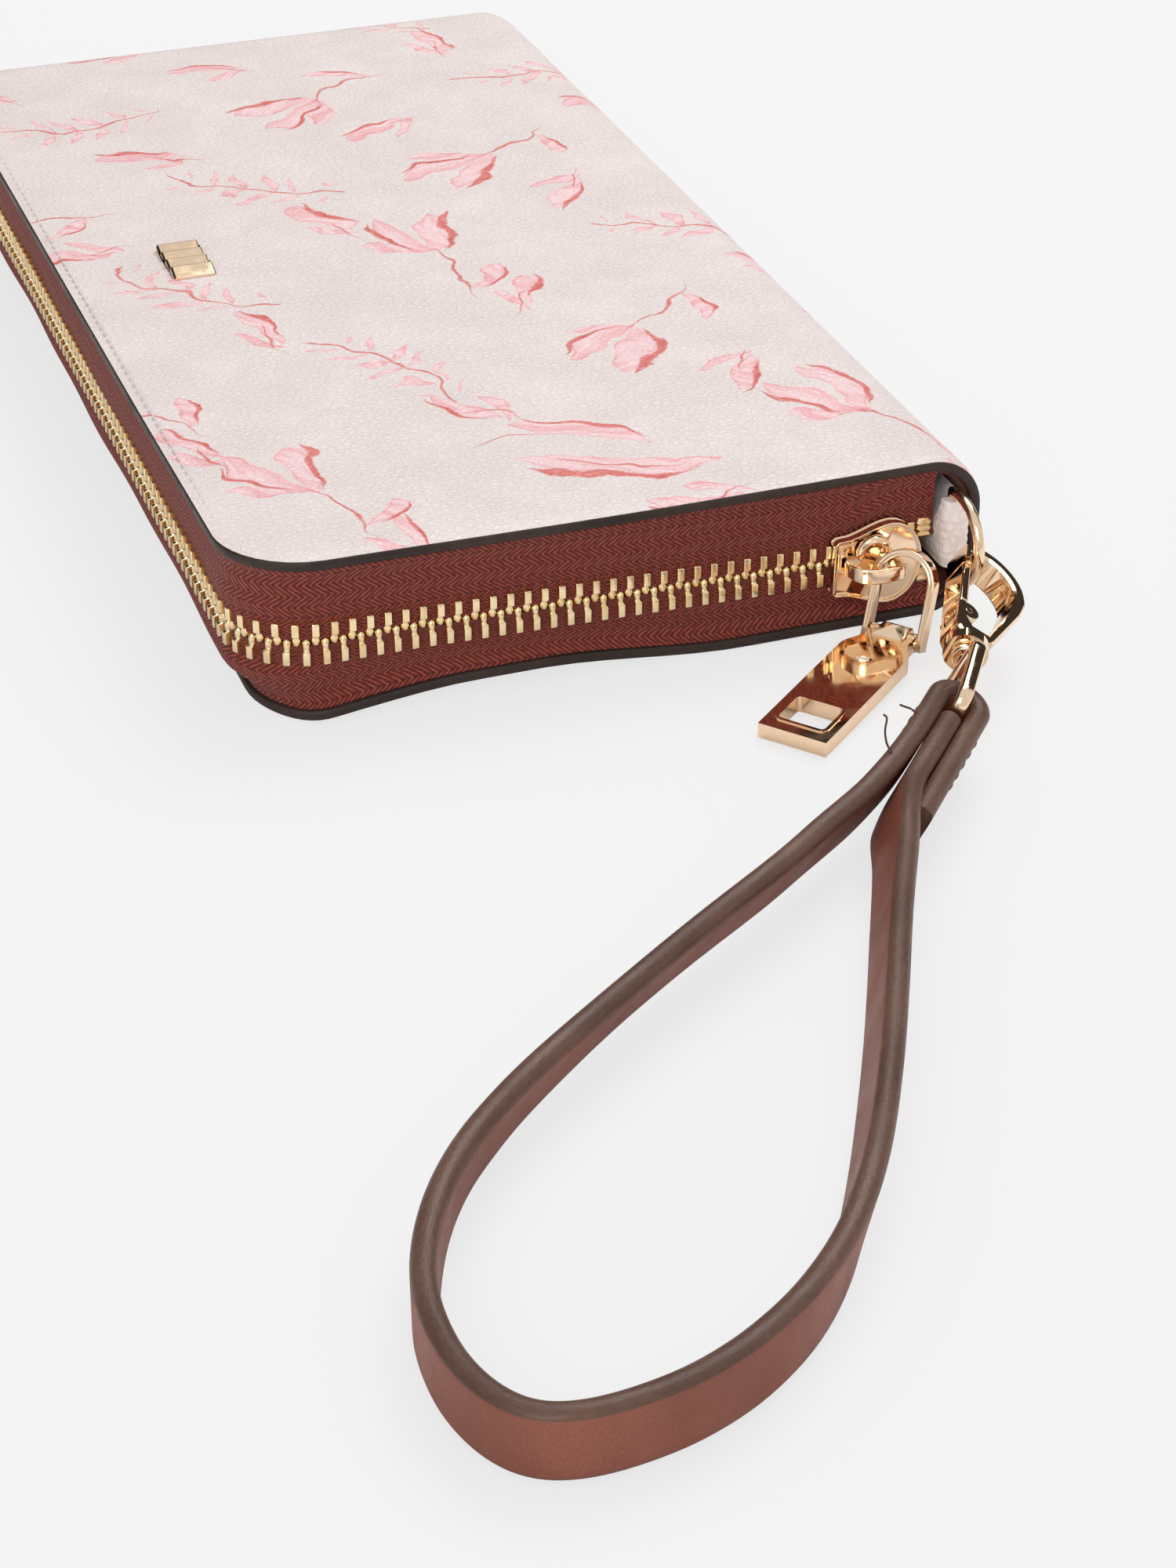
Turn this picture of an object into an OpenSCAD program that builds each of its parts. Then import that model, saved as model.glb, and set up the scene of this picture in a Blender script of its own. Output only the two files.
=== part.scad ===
// Wristlet wallet: a zip-around wallet with a leather wrist strap.
// The wallet lies on its back cover.  X runs from the zipper edge to the spine, Y along
// the length, Z up.  The origin is the centre of the underside of the back cover.
// All lengths are in millimetres and all angles in degrees.

/* [Wallet] */
// Length along the spine
wallet_l = 194; // [170:1:220]
// Width from the zipper edge to the back of the spine
wallet_w = 105; // [90:1:120]
// Thickness of the closed wallet
wallet_t = 24; // [22:0.5:30]
// Radius of the two cover corners at the zipper edge
corner_r = 12; // [8:1:18]
// Radius that each cover turns through at the spine
spine_r = 8; // [5:0.5:9]
// Largest angle that the fan gussets let the front half open to
open_angle = 95; // [60:1:100]

/* [Cover] */
// Thickness of the leather skin
leather_t = 0.7; // [0.5:0.1:1]
// Thickness of the stiffening board
board_t = 1.0; // [0.6:0.1:1.4]
// Thickness of the inner lining
lining_t = 0.5; // [0.3:0.1:0.8]
// Depth of the painted edge, inward from the cover's edge
edge_paint_w = 0.8; // [0.5:0.1:1.5]
// Gap left between the two halves along the middle of the spine
spine_gap = 0.3; // [0.2:0.1:0.6]

/* [Inside] */
// Thickness of each panel that closes a note pocket
panel_t = 0.8; // [0.5:0.1:1.2]
// Thickness of one card pocket leaf
leaf_t = 0.6; // [0.5:0.1:0.8]
// Number of card pocket leaves in a column
leaf_count = 4; // [2:1:5]
// Step between the mouths of two card pockets
leaf_step = 10; // [6:1:12]
// Height of the slit that a card slides into
slit_h = 0.25; // [0.2:0.05:0.3]
// Distance from the zipper edge to the first card pocket mouth
pocket_inset = 13; // [10:1:16]
// Distance from each short end to the pockets
pocket_end_inset = 17; // [16:1:24]
// Gap between the two columns of card pockets
column_gap = 3; // [2:0.5:6]
// Outer thickness of the coin pocket
coin_t = 4.4; // [4.2:0.1:5]
// Thickness of a coin pocket wall
coin_wall_t = 0.8; // [0.6:0.1:1]
// Distance from the zipper edge to the coin pocket's mouth
coin_inset = 14; // [12:0.5:18]
// Thickness of a gusset's fabric
gusset_t = 0.6; // [0.4:0.1:0.8]
// How far a folded gusset reaches inward
gusset_fold = 6; // [4:0.5:7]
// Length of a gusset along the short side, from the spine
gusset_l = 52; // [35:1:60]

/* [Zipper] */
// Distance from the cover's edge to the middle of the tape
tape_inset = 1.5; // [1.4:0.1:2]
// Thickness of the tape
tape_t = 0.6; // [0.4:0.1:0.7]
// Thickness of a tooth, across the tape
tooth_t = 2.6; // [2.4:0.1:2.8]
// Width of a tooth along the tape
tooth_w = 0.85; // [0.7:0.05:0.95]
// Distance between two teeth of one row
tooth_pitch = 2.4; // [2.2:0.1:3]
// Height of a tooth from its tip to its root
tooth_h = 3.9; // [3.4:0.1:4.2]
// How far each tip reaches past the middle of the chain
tooth_reach = 0.8; // [0.6:0.1:0.9]
// Length of the slider body
slider_l = 13; // [12:0.5:15]
// Straight travel of the slider along the short side
slider_travel = 66; // [50:1:68]
// Distance that each row is pushed apart in front of the slider
row_spread = 1.9; // [1.85:0.05:2.1]
// Thickness of a slider plate
slider_plate_t = 1.2; // [1:0.1:1.4]

/* [Pull] */
// Gap between the slider and its bridge
bridge_gap = 3.0; // [2.9:0.1:3.2]
// Depth of the bail's band, across its loop
bail_depth = 2.0; // [1.6:0.1:2]
// Thickness of the bail's band, in the plane of its loop
bail_t = 1.0; // [0.9:0.1:1.2]
// Radius of the bail's arch, at the middle of the band
bail_r = 4.1; // [4:0.1:4.5]
// Length of each bail leg
bail_leg = 7.8; // [7:0.1:8.2]
// Width of the puller plate
puller_w = 10; // [8.6:0.2:12]
// Length of the puller from its pin to its free end
puller_l = 29.4; // [26:0.5:34]
// Thickness of the puller plate
puller_t = 2.2; // [2:0.1:2.6]
// Length of the window in the puller plate
window_l = 5.8; // [4:0.2:7]

/* [Ring and clasp] */
// Wire diameter of the D-ring
ring_wire = 1.5; // [1.3:0.1:1.6]
// Radius of the D-ring's bow, at the middle of the wire
ring_r = 5.9; // [5.8:0.1:6.2]
// Straight part of the D-ring between its bar and its bow
ring_leg = 2.9; // [2.6:0.1:3.4]
// Height of the leather tab that holds the D-ring
tab_h = 10; // [9:0.1:10]
// Thickness of the clasp, across its flat face
clasp_t = 4.5; // [4:0.1:5]
// Radius of the clasp's hook, outside
hook_r = 6.6; // [6.4:0.1:7]
// Width of the metal round the clasp's opening
clasp_wall = 1.7; // [1.5:0.1:2]
// Length of the clasp below the ring's wire
clasp_l = 20; // [19.4:0.1:21]
// Largest angle that the gate opens to
gate_angle = 22; // [12:1:24]
// Wire diameter of the swivel eye
eye_wire = 2; // [1.6:0.1:2.2]
// Length of the swivel eye between its two end bars
eye_l = 12; // [11:0.5:14]

/* [Strap] */
// Width of the strap
strap_w = 9; // [8:0.5:10]
// Thickness of the strap
strap_t = 2.8; // [2.6:0.1:3.2]
// Length of the sewn end where three layers lie together
sewn_l = 22; // [18:1:26]
// Gap between the sewn layers
layer_gap = 0.1; // [0.05:0.05:0.2]

/* [Badge] */
// Length of the plain badge plate
badge_l = 12; // [8:0.5:18]
// Width of the badge plate
badge_w = 6.5; // [4:0.5:8]
// Thickness of the badge plate
badge_t = 1.2; // [0.8:0.1:1.6]
// Distance from the zipper edge to the middle of the badge
badge_inset = 19; // [14:0.5:26]

/* [Hidden] */
$fn = 48;
eps = 0.01;

leather_colour = [0.88, 0.86, 0.85];
print_edge = [0.36, 0.31, 0.29];
tape_colour = [0.42, 0.17, 0.15];
gold = [0.86, 0.66, 0.42];
brass = [0.80, 0.70, 0.45];
strap_colour = [0.56, 0.36, 0.31];
lining_colour = [0.45, 0.30, 0.27];
board_colour = [0.62, 0.58, 0.52];

cover_t = leather_t + board_t + lining_t;
mid_z = wallet_t / 2;
edge_x = -wallet_w / 2;
spine_x = wallet_w / 2;
end_y = wallet_l / 2;
fit = 0.05;       // flat faces that meet inside one body
run = 0.2;        // flat faces that slide past each other
soft_gap = 0.3;   // soft or curved faces of two bodies

// ---------------------------------------------------------------- covers

// Everything inside the back half's outer surface, offset inward by depth, seen along Y.
module half_profile(depth) {
    top = mid_z - spine_gap / 2;
    intersection() {
        union() {
            translate([edge_x - 1, depth]) square([wallet_w - spine_r + 1, top - depth]);
            translate([spine_x - spine_r, spine_r]) circle(r = spine_r - depth, $fn = 96);
            translate([spine_x - spine_r - 1, spine_r]) square([spine_r - depth + 1, top - spine_r]);
        }
        translate([edge_x - 2, -1]) square([wallet_w + 4, top + 1]);
    }
}

// Plan outline of a cover, offset inward by inset from its three free edges.
module cover_plan(inset) {
    r = corner_r - inset;
    for (side = [-1, 1])
        translate([edge_x + corner_r, side * (end_y - corner_r)]) circle(r = r, $fn = 96);
    translate([edge_x + inset, -end_y + corner_r])
        square([corner_r, wallet_l - 2 * corner_r]);
    translate([edge_x + corner_r, -end_y + inset])
        square([wallet_w - corner_r + 1, wallet_l - 2 * inset]);
}

// One layer of a cover between two depths below its outer surface.
module cover_layer(outer_depth, inner_depth, inset) {
    intersection() {
        rotate([90, 0, 0]) linear_extrude(wallet_l + 2, center = true) difference() {
            half_profile(outer_depth);
            half_profile(inner_depth);
        }
        linear_extrude(wallet_t) cover_plan(inset);
    }
}

module edge_paint() {
    difference() {
        cover_layer(0, cover_t, 0);
        translate([0, 0, -1]) linear_extrude(wallet_t + 2) cover_plan(edge_paint_w);
    }
}

// The front half is the back half turned over about the middle height.
module front_side() {
    translate([0, 0, wallet_t]) mirror([0, 0, 1]) children();
}

module back_leather() { color(leather_colour) cover_layer(0, leather_t, edge_paint_w); }
module back_board() {
    color(board_colour) cover_layer(leather_t, leather_t + board_t, edge_paint_w);
}
module back_lining() {
    color(lining_colour) cover_layer(leather_t + board_t, cover_t, edge_paint_w);
}
module back_edge_paint() { color(print_edge) edge_paint(); }
module front_leather() {
    color(leather_colour) difference() { front_side() back_leather(); prong_cuts(); }
}
module front_board() {
    color(board_colour) difference() { front_side() back_board(); prong_cuts(); }
}
module front_lining() { front_side() back_lining(); }
module front_edge_paint() { front_side() back_edge_paint(); }

// ---------------------------------------------------------------- pockets

pocket_x0 = edge_x + pocket_inset;
pocket_x1 = spine_x - spine_r - 2;
pocket_y = end_y - pocket_end_inset;
pocket_z = cover_t + panel_t;
pocket_top = pocket_z + leaf_count * leaf_t;

module box_between(low, high) { translate(low) cube(high - low); }

// A sheet sewn down on three sides, open towards the zipper edge.
module note_panel() {
    seam = 3;
    difference() {
        box_between([pocket_x0 - 4, -pocket_y - 2, cover_t],
                    [pocket_x1 + 2, pocket_y + 2, cover_t + panel_t]);
        box_between([pocket_x0 - 5, -pocket_y - 2 + seam, cover_t - 1],
                    [pocket_x1 + 2 - seam, pocket_y + 2 - seam, cover_t + slit_h]);
    }
}

// A column of stepped leaves with a slit behind each one but the first.
module card_column(y0, y1) {
    seam = 1.5;
    difference() {
        for (i = [0 : leaf_count - 1])
            box_between([pocket_x0 + i * leaf_step, y0, pocket_z + i * leaf_t],
                        [pocket_x1, y1, pocket_z + (i + 1) * leaf_t]);
        for (i = [1 : leaf_count - 1])
            box_between([pocket_x0 + i * leaf_step - 1, y0 + seam, pocket_z + i * leaf_t],
                        [pocket_x1 - 8, y1 - seam, pocket_z + i * leaf_t + slit_h]);
    }
}

module back_note_panel() { color(lining_colour) note_panel(); }
module front_note_panel() { front_side() back_note_panel(); }
module back_card_pockets_near() {
    color(leather_colour) card_column(-pocket_y, -column_gap / 2);
}
module back_card_pockets_far() {
    color(leather_colour) card_column(column_gap / 2, pocket_y);
}
module front_card_pockets_near() { front_side() back_card_pockets_near(); }
module front_card_pockets_far() { front_side() back_card_pockets_far(); }

// ---------------------------------------------------------------- gussets

gusset_y = end_y - 5.5;
gusset_x1 = spine_x - spine_r - 1.5;
module gusset() {
    low = cover_t;
    high = wallet_t - low - fit;
    fold = gusset_y - gusset_fold;
    translate([gusset_x1 - gusset_l, 0, 0]) rotate([90, 0, 90]) linear_extrude(gusset_l)
        polygon([[gusset_y, low], [gusset_y, low + gusset_t], [fold + gusset_t * 1.5, mid_z],
                 [gusset_y, high - gusset_t], [gusset_y, high],
                 [gusset_y - gusset_t, high], [fold, mid_z], [gusset_y - gusset_t, low]]);
}
module far_gusset() { color(tape_colour) gusset(); }
module near_gusset() { color(tape_colour) mirror([0, 1, 0]) gusset(); }

// ---------------------------------------------------------------- coin pocket

coin_x0 = edge_x + coin_inset;
coin_x1 = spine_x - spine_r - 3;
coin_y = gusset_y - gusset_fold - soft_gap;
coin_low = mid_z - coin_t / 2;
coin_binding = 2.5;
coin_tape_l = 3.2;
coin_tape_t = 0.5;
coin_tooth_h = 1.9;
coin_tooth_w = 0.6;
coin_tooth_pitch = 1.6;
coin_slider_l = 7;
coin_slider_y = coin_y - 11;
coin_travel = 2 * coin_slider_y - 6;
coin_chain_x = coin_x0 - coin_tape_l - 0.5;

module coin_wall_back() {
    color(tape_colour) box_between([coin_x0, -coin_y, coin_low],
                                   [coin_x1, coin_y, coin_low + coin_wall_t]);
}
module coin_wall_front() { front_side() coin_wall_back(); }

// Closes the pocket on three sides and carries the tongue that turns at the spine.
module coin_pocket_binding() {
    inner = coin_t - 2 * coin_wall_t;
    color(tape_colour) difference() {
        union() {
            box_between([coin_x0, -coin_y, mid_z - inner / 2], [coin_x1, coin_y, mid_z + inner / 2]);
            box_between([coin_x1 - eps, -coin_y, mid_z - 0.6],
                        [spine_x - cover_t - soft_gap, coin_y, mid_z + 0.6]);
        }
        box_between([coin_x0 - 1, -coin_y + coin_binding, mid_z - inner],
                    [coin_x1 - coin_binding, coin_y - coin_binding, mid_z + inner]);
    }
}
// Two tapes that lean together from the walls to the small chain.
module coin_zip_tapes() {
    color(tape_colour) for (side = [0, 1])
        translate([0, 0, side * wallet_t]) mirror([0, 0, side])
        rotate([90, 0, 0]) linear_extrude(2 * coin_y - 4, center = true)
            polygon([[coin_x0 - fit, coin_low + 0.1], [coin_x0 - fit, coin_low + 0.1 + coin_tape_t],
                     [coin_chain_x + 0.5, mid_z - 0.45], [coin_chain_x - 0.1, mid_z - 0.75]]);
}
module coin_zip_teeth() {
    count = floor((2 * coin_y - 8) / coin_tooth_pitch);
    color(brass) for (i = [0 : count - 1])
        translate([coin_chain_x - coin_tooth_h / 2 - 0.2,
                   (i - (count - 1) / 2) * coin_tooth_pitch, mid_z])
            cube([coin_tooth_h, coin_tooth_w, 1.9], center = true);
}
coin_slider_x = coin_chain_x - coin_tooth_h / 2 - 0.2;
coin_face_x = coin_slider_x - coin_tooth_h / 2 - 0.8;
coin_pin_x = coin_face_x - 1.1;
coin_lug_h = 2;
coin_cheek_h = 1.1;
module coin_zip_slider() {
    slot = 1.9 + 2 * run;
    color(gold) translate([coin_slider_x, coin_slider_y, mid_z]) difference() {
        union() {
            cube([coin_tooth_h + 1.6, coin_slider_l, slot + 1.4], center = true);
            translate([coin_pin_x - coin_slider_x - 0.9, -1.2, -coin_lug_h / 2])
                cube([2.5, 2.4, coin_lug_h]);
        }
        translate([0.5, 0, 0]) cube([coin_tooth_h + 1.6, coin_slider_l + 1, slot], center = true);
        translate([coin_pin_x - coin_slider_x, 0, 0])
            cylinder(r = 0.62, h = coin_lug_h + 1, center = true, $fn = 32);
    }
}
// A flat tag with two cheeks, pinned to the slider's lug.
module coin_zip_puller() {
    gap = coin_lug_h / 2 + 0.12;
    color(gold) translate([coin_pin_x, coin_slider_y, mid_z]) {
        cylinder(r = 0.55, h = 2 * gap + 1, center = true, $fn = 32);
        for (side = [0, 1]) mirror([0, 0, side]) translate([0, 0, gap]) {
            cylinder(r = 0.8, h = coin_cheek_h, $fn = 32);
            translate([-0.8, -3, 0]) cube([1.6, 3, coin_cheek_h]);
        }
        difference() {
            box_between([-0.6, -14, -gap - coin_cheek_h], [0.6, -2, gap + coin_cheek_h]);
            translate([-2, -6.4, -0.8]) cube([4, 2.4, 1.6]);
        }
    }
}

// ---------------------------------------------------------------- main zipper

bar_gap = 0.1;
tab_r = ring_wire / 2 + bar_gap + 1.15;
ring_x = spine_x - cover_t - soft_gap - tab_r;
ring_y = -end_y;
ring_z = mid_z + 1;

chain_y = end_y - tape_inset;
chain_r = corner_r - tape_inset;
tape_end_x = ring_x - tab_r - soft_gap;
tape_edge = tooth_h - tooth_reach - 1.7;   // height of the tape's edge above the chain's middle
slider_x = tape_end_x - 9.0;               // middle of the slider at rest
slope_x = slider_x - slider_travel;        // where the chain starts to run down
slope = tan(1.6);                          // the pull's weight draws the chain down a little
spread_x0 = slider_x - 4.4;
spread_x1 = slider_x + 3.1;

// How far the rows stand apart at a place along the short side.
function spread_at(x) =
    let (s = max(0, min(1, (x - spread_x0) / (spread_x1 - spread_x0))))
    row_spread * s * s * (3 - 2 * s);

// How far the chain has run down at a place along the near short side.
function drop_at(x) = max(0, x - slope_x) * slope;

// The tape's path in plan, as a strip of the given thickness.
module tape_plan(t) {
    for (side = [-1, 1]) {
        translate([edge_x + corner_r, side * chain_y - t / 2])
            square([tape_end_x - edge_x - corner_r, t]);
        intersection() {
            translate([edge_x + corner_r, side * (end_y - corner_r)]) difference() {
                circle(r = chain_r + t / 2, $fn = 96);
                circle(r = chain_r - t / 2, $fn = 96);
            }
            translate([edge_x, side > 0 ? end_y - corner_r : -end_y])
                square([corner_r, corner_r]);
        }
    }
    translate([edge_x + tape_inset - t / 2, -end_y + corner_r])
        square([t, wallet_l - 2 * corner_r]);
}

// Upper tape: from the chain up to the front cover; its edge follows the spread row.
// The dip is -1 for a chain that runs down and 1 for the same chain turned over.
module tape_strip(t, dip) {
    steps = 8;
    edge = [for (i = [0 : steps])
            let (x = spread_x0 + i * (spread_x1 - spread_x0) / steps)
            [x, mid_z + tape_edge + spread_at(x) + dip * drop_at(x)]];
    low = mid_z + tape_edge + dip * drop_at(spine_x);
    difference() {
        translate([0, 0, min(low, mid_z + tape_edge)])
            linear_extrude(wallet_t - cover_t - fit - min(low, mid_z + tape_edge)) tape_plan(t);
        translate([0, -end_y + corner_r / 2, 0]) rotate([90, 0, 0]) linear_extrude(corner_r)
            polygon(concat([[slope_x, mid_z + tape_edge]], edge,
                [[spine_x, edge[steps][1] + dip * (drop_at(spine_x) - drop_at(spread_x1))],
                 [spine_x, low - 5], [slope_x, low - 5]]));
        // the end stays clear of the lining where the spine starts to turn
        translate([spine_x - spine_r, -end_y - 1, wallet_t - cover_t - 0.2])
            cube([spine_r, wallet_l + 2, 2]);
        // away from the slope the edge is level
        translate([edge_x - 1, -end_y - 1, low - 5])
            cube([slope_x - edge_x + 1 + eps, corner_r + 2, tape_edge + mid_z - low + 5]);
        translate([edge_x - 1, -end_y + corner_r, low - 5])
            cube([wallet_w + 2, wallet_l, tape_edge + mid_z - low + 5]);
    }
}
module upper_zip_tape() { color(tape_colour) tape_strip(tape_t, -1); }
module lower_zip_tape() { color(tape_colour) front_side() tape_strip(tape_t, 1); }

// Length along the chain: front run, corner, long side, corner, back run.
front_run = tape_end_x - edge_x - corner_r;
corner_run = chain_r * 90 * PI / 180;
side_run = wallet_l - 2 * corner_r;
chain_run = 2 * front_run + 2 * corner_run + side_run;

// Places its children at a distance along the chain, with +Y pointing out of the wallet.
module on_chain(s, dip) {
    if (s < front_run)
        translate([tape_end_x - s, -chain_y,
                   spread_at(tape_end_x - s) + dip * drop_at(tape_end_x - s)])
            rotate(180) children();
    else if (s < front_run + corner_run)
        translate([edge_x + corner_r, -end_y + corner_r, 0])
            rotate(180 - (s - front_run) / corner_run * 90) translate([0, chain_r, 0]) children();
    else if (s < front_run + corner_run + side_run)
        translate([edge_x + tape_inset, -end_y + corner_r + s - front_run - corner_run, 0])
            rotate(90) children();
    else if (s < front_run + 2 * corner_run + side_run)
        translate([edge_x + corner_r, end_y - corner_r, 0])
            rotate(90 - (s - front_run - corner_run - side_run) / corner_run * 90)
            translate([0, chain_r, 0]) children();
    else
        translate([edge_x + corner_r + s - front_run - 2 * corner_run - side_run, chain_y, 0])
            children();
}

stop_l = 2.2;     // length of a stop along the chain
stop_t = 1.3;     // thickness of a stop, across the tape
chain_end = 0.3;  // tape left beyond each stop
module tooth_row(first, dip) {
    start = chain_end + stop_l + 1.2 + first;
    count = floor((chain_run - chain_end - stop_l - 1.2 - start) / tooth_pitch);
    color(brass) difference() {
        for (i = [0 : count]) on_chain(start + i * tooth_pitch, dip)
            translate([-tooth_w / 2, -tooth_t / 2, mid_z - tooth_reach])
                cube([tooth_w, tooth_t, tooth_h]);
        tape_strip(tape_t + 2 * fit, dip);
    }
}
module upper_zip_teeth() { tooth_row(0, -1); }
module lower_zip_teeth() { front_side() tooth_row(tooth_pitch / 2, 1); }

// Stops clamp the tape's edge at both ends of each row.
module stops(dip) {
    color(brass) difference() {
        for (s = [chain_end + stop_l / 2, chain_run - chain_end - stop_l / 2]) on_chain(s, dip)
            translate([-stop_l / 2, -stop_t / 2, mid_z + spine_gap])
                cube([stop_l, stop_t, tooth_h - 0.8]);
        tape_strip(tape_t + 2 * fit, dip);
    }
}
module upper_zip_stops() { stops(-1); }
module lower_zip_stops() { front_side() stops(1); }

// ---------------------------------------------------------------- slider

tail_h = tooth_h - tooth_reach + run + 0.9;    // half height at the closed end
shoulder_h = tail_h + row_spread;              // half height where the rows part
row_h = tooth_h - tooth_reach + run;           // half height of the teeth, with clearance
outer_face = end_y - tape_inset + tooth_t / 2 + run;      // inner surface of the outer plate
inner_face = end_y - tape_inset - tooth_t / 2 - run;      // inner surface of the inner plate
lip_out = end_y - tape_inset + tape_t / 2 + 0.15;
lip_in = end_y - tape_inset - tape_t / 2 - 0.15;
plate_out = outer_face + slider_plate_t;

// Half of the plate's outline above the chain, measured from the middle of the slider.
function plate_half() = concat(
    [[-slider_l / 2, 0], [-slider_l / 2, tail_h]],
    [for (i = [0 : 6]) let (s = i / 6) [-slider_l / 2 + 1 + s * 7.2,
        tail_h + (shoulder_h - tail_h) * s * s * (3 - 2 * s)]],
    [for (a = [75 : -15 : 0]) [slider_l / 2 - 4.8 + 4.8 * cos(a), shoulder_h * sin(a)]]);

// Space that the row passes through inside the lips.
function lane_half() = concat(
    [[-slider_l, -1], [-slider_l, row_h]],
    [for (i = [0 : 8]) let (x = spread_x0 + i * (spread_x1 - spread_x0) / 8)
        [x - slider_x, row_h + spread_at(x)]],
    [[slider_l, row_h + row_spread], [slider_l, -1]]);

module both_halves() { children(); mirror([0, 1, 0]) children(); }
slider_z = mid_z - drop_at(slider_x);
module slider_frame() {
    translate([slider_x, 0, slider_z]) rotate([0, atan(slope), 0]) children();
}
module in_chain_plane(y0, y1) {
    slider_frame() translate([0, -y0, 0]) rotate([90, 0, 0]) linear_extrude(y1 - y0) children();
}

module zip_slider_body() {
    color(gold) {
        in_chain_plane(outer_face, plate_out) both_halves() polygon(plate_half());
        in_chain_plane(inner_face - 1, inner_face) both_halves() polygon(plate_half());
        for (span = [[lip_out, outer_face], [inner_face, lip_in]])
            in_chain_plane(span[0] - eps, span[1] + eps) difference() {
                both_halves() polygon(plate_half());
                both_halves() polygon(lane_half());
            }
        // post that parts the rows and joins the plates
        in_chain_plane(inner_face - eps, outer_face + eps)
            translate([slider_l / 2 - 4.1, -0.85]) square([2.6, 1.7]);
    }
}

bridge_x0 = -4.7;          // start of the bridge, from the middle of the slider
bridge_l = 7.4;
bridge_h = 2.2;
bridge_t = 1.0;
bridge_foot = 1.0;
bridge_y = plate_out + bridge_gap + bridge_t / 2;
bridge_rise = 0.4;

// A band with a sloped start, standing off the slider on two feet.
module zip_slider_bridge() {
    out = bridge_gap + bridge_t;
    c = 0.6;
    color(gold) slider_frame() intersection() {
        translate([bridge_x0, -plate_out, bridge_rise - bridge_h / 2]) mirror([0, 1, 0])
            linear_extrude(bridge_h) difference() {
                polygon([[0, 0], [0, 2], [1.6, out], [bridge_l, out], [bridge_l, 0]]);
                polygon([[bridge_foot, -1], [bridge_foot, 1.6], [2.1, bridge_gap],
                         [bridge_l - bridge_foot, bridge_gap], [bridge_l - bridge_foot, -1]]);
            }
        // the band's inner edges are eased for the bail
        translate([bridge_x0 - 1, -plate_out, bridge_rise]) rotate([90, 0, 90])
            linear_extrude(bridge_l + 2) polygon([
                [1, -bridge_h / 2], [1, bridge_h / 2], [-bridge_gap + 1, bridge_h / 2],
                [-bridge_gap, bridge_h / 2 - c], [-bridge_gap - c, bridge_h / 2],
                [-out - 1, bridge_h / 2], [-out - 1, -bridge_h / 2],
                [-bridge_gap - c, -bridge_h / 2], [-bridge_gap, -bridge_h / 2 + c],
                [-bridge_gap + 1, -bridge_h / 2]]);
    }
}

// ---------------------------------------------------------------- bail and puller

pull_yaw = -51;   // the bail hangs turned away from the slider's face
bail_lean = 20;     // and leans out to where the puller lies
puller_tilt = -2;   // slope of the puller down to its free end
bail_x = slider_x + 1.9;
bail_y = -plate_out - bridge_gap / 2 + bail_r * sin(pull_yaw);
bail_z = slider_z - 0.66;
pin_r = 0.65;
pin_l = 1.7;
neck_w = 2 * bail_r - bail_t - 0.6;

module bail_frame() {
    translate([bail_x, bail_y, bail_z]) rotate([0, 0, pull_yaw]) rotate([-bail_lean, 0, 0])
        children();
}
module zip_bail() {
    tip = 0.9;
    color(gold) bail_frame() {
        rotate([90, 0, 0]) translate([0, 0, -bail_depth / 2]) linear_extrude(bail_depth)
            difference() {
                union() {
                    circle(r = bail_r + bail_t / 2, $fn = 96);
                    translate([-bail_r - bail_t / 2, -bail_leg - tip])
                        square([2 * bail_r + bail_t, bail_leg + tip]);
                }
                circle(r = bail_r - bail_t / 2, $fn = 96);
                translate([-bail_r + bail_t / 2, -bail_leg - tip - 1])
                    square([2 * bail_r - bail_t, bail_leg + tip + 1]);
            }
        for (side = [-1, 1])
            translate([side * (bail_r - bail_t / 2 + eps), 0, -bail_leg])
                rotate([0, -side * 90, 0]) cylinder(r = pin_r, h = 0.3 + pin_l, $fn = 24);
    }
}

// The puller's own frame: X along its pin, -Y towards its free end.
module puller_frame() {
    bail_frame() translate([0, 0, -bail_leg]) rotate([bail_lean - puller_tilt, 0, 0]) children();
}
shoulder_y = 5.5;
module zip_puller() {
    rim = 1.6;
    bore = pin_r + 0.12;
    color(gold) puller_frame() difference() {
        union() {
            translate([0, 0, -puller_t / 2]) linear_extrude(puller_t) polygon([
                [-neck_w / 2, 0], [-neck_w / 2, -2.6], [-puller_w / 2, -shoulder_y],
                [-puller_w / 2, -puller_l], [puller_w / 2, -puller_l],
                [puller_w / 2, -shoulder_y], [neck_w / 2, -2.6], [neck_w / 2, 0]]);
            rotate([0, 90, 0]) cylinder(d = puller_t + 0.4, h = neck_w, center = true, $fn = 32);
        }
        rotate([0, 90, 0]) cylinder(r = bore, h = neck_w + 1, center = true, $fn = 24);
        translate([-puller_w / 2 + rim, -puller_l + rim + 0.8, -puller_t])
            cube([puller_w - 2 * rim, window_l, 2 * puller_t]);
    }
}

// ---------------------------------------------------------------- tab and D-ring

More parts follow.
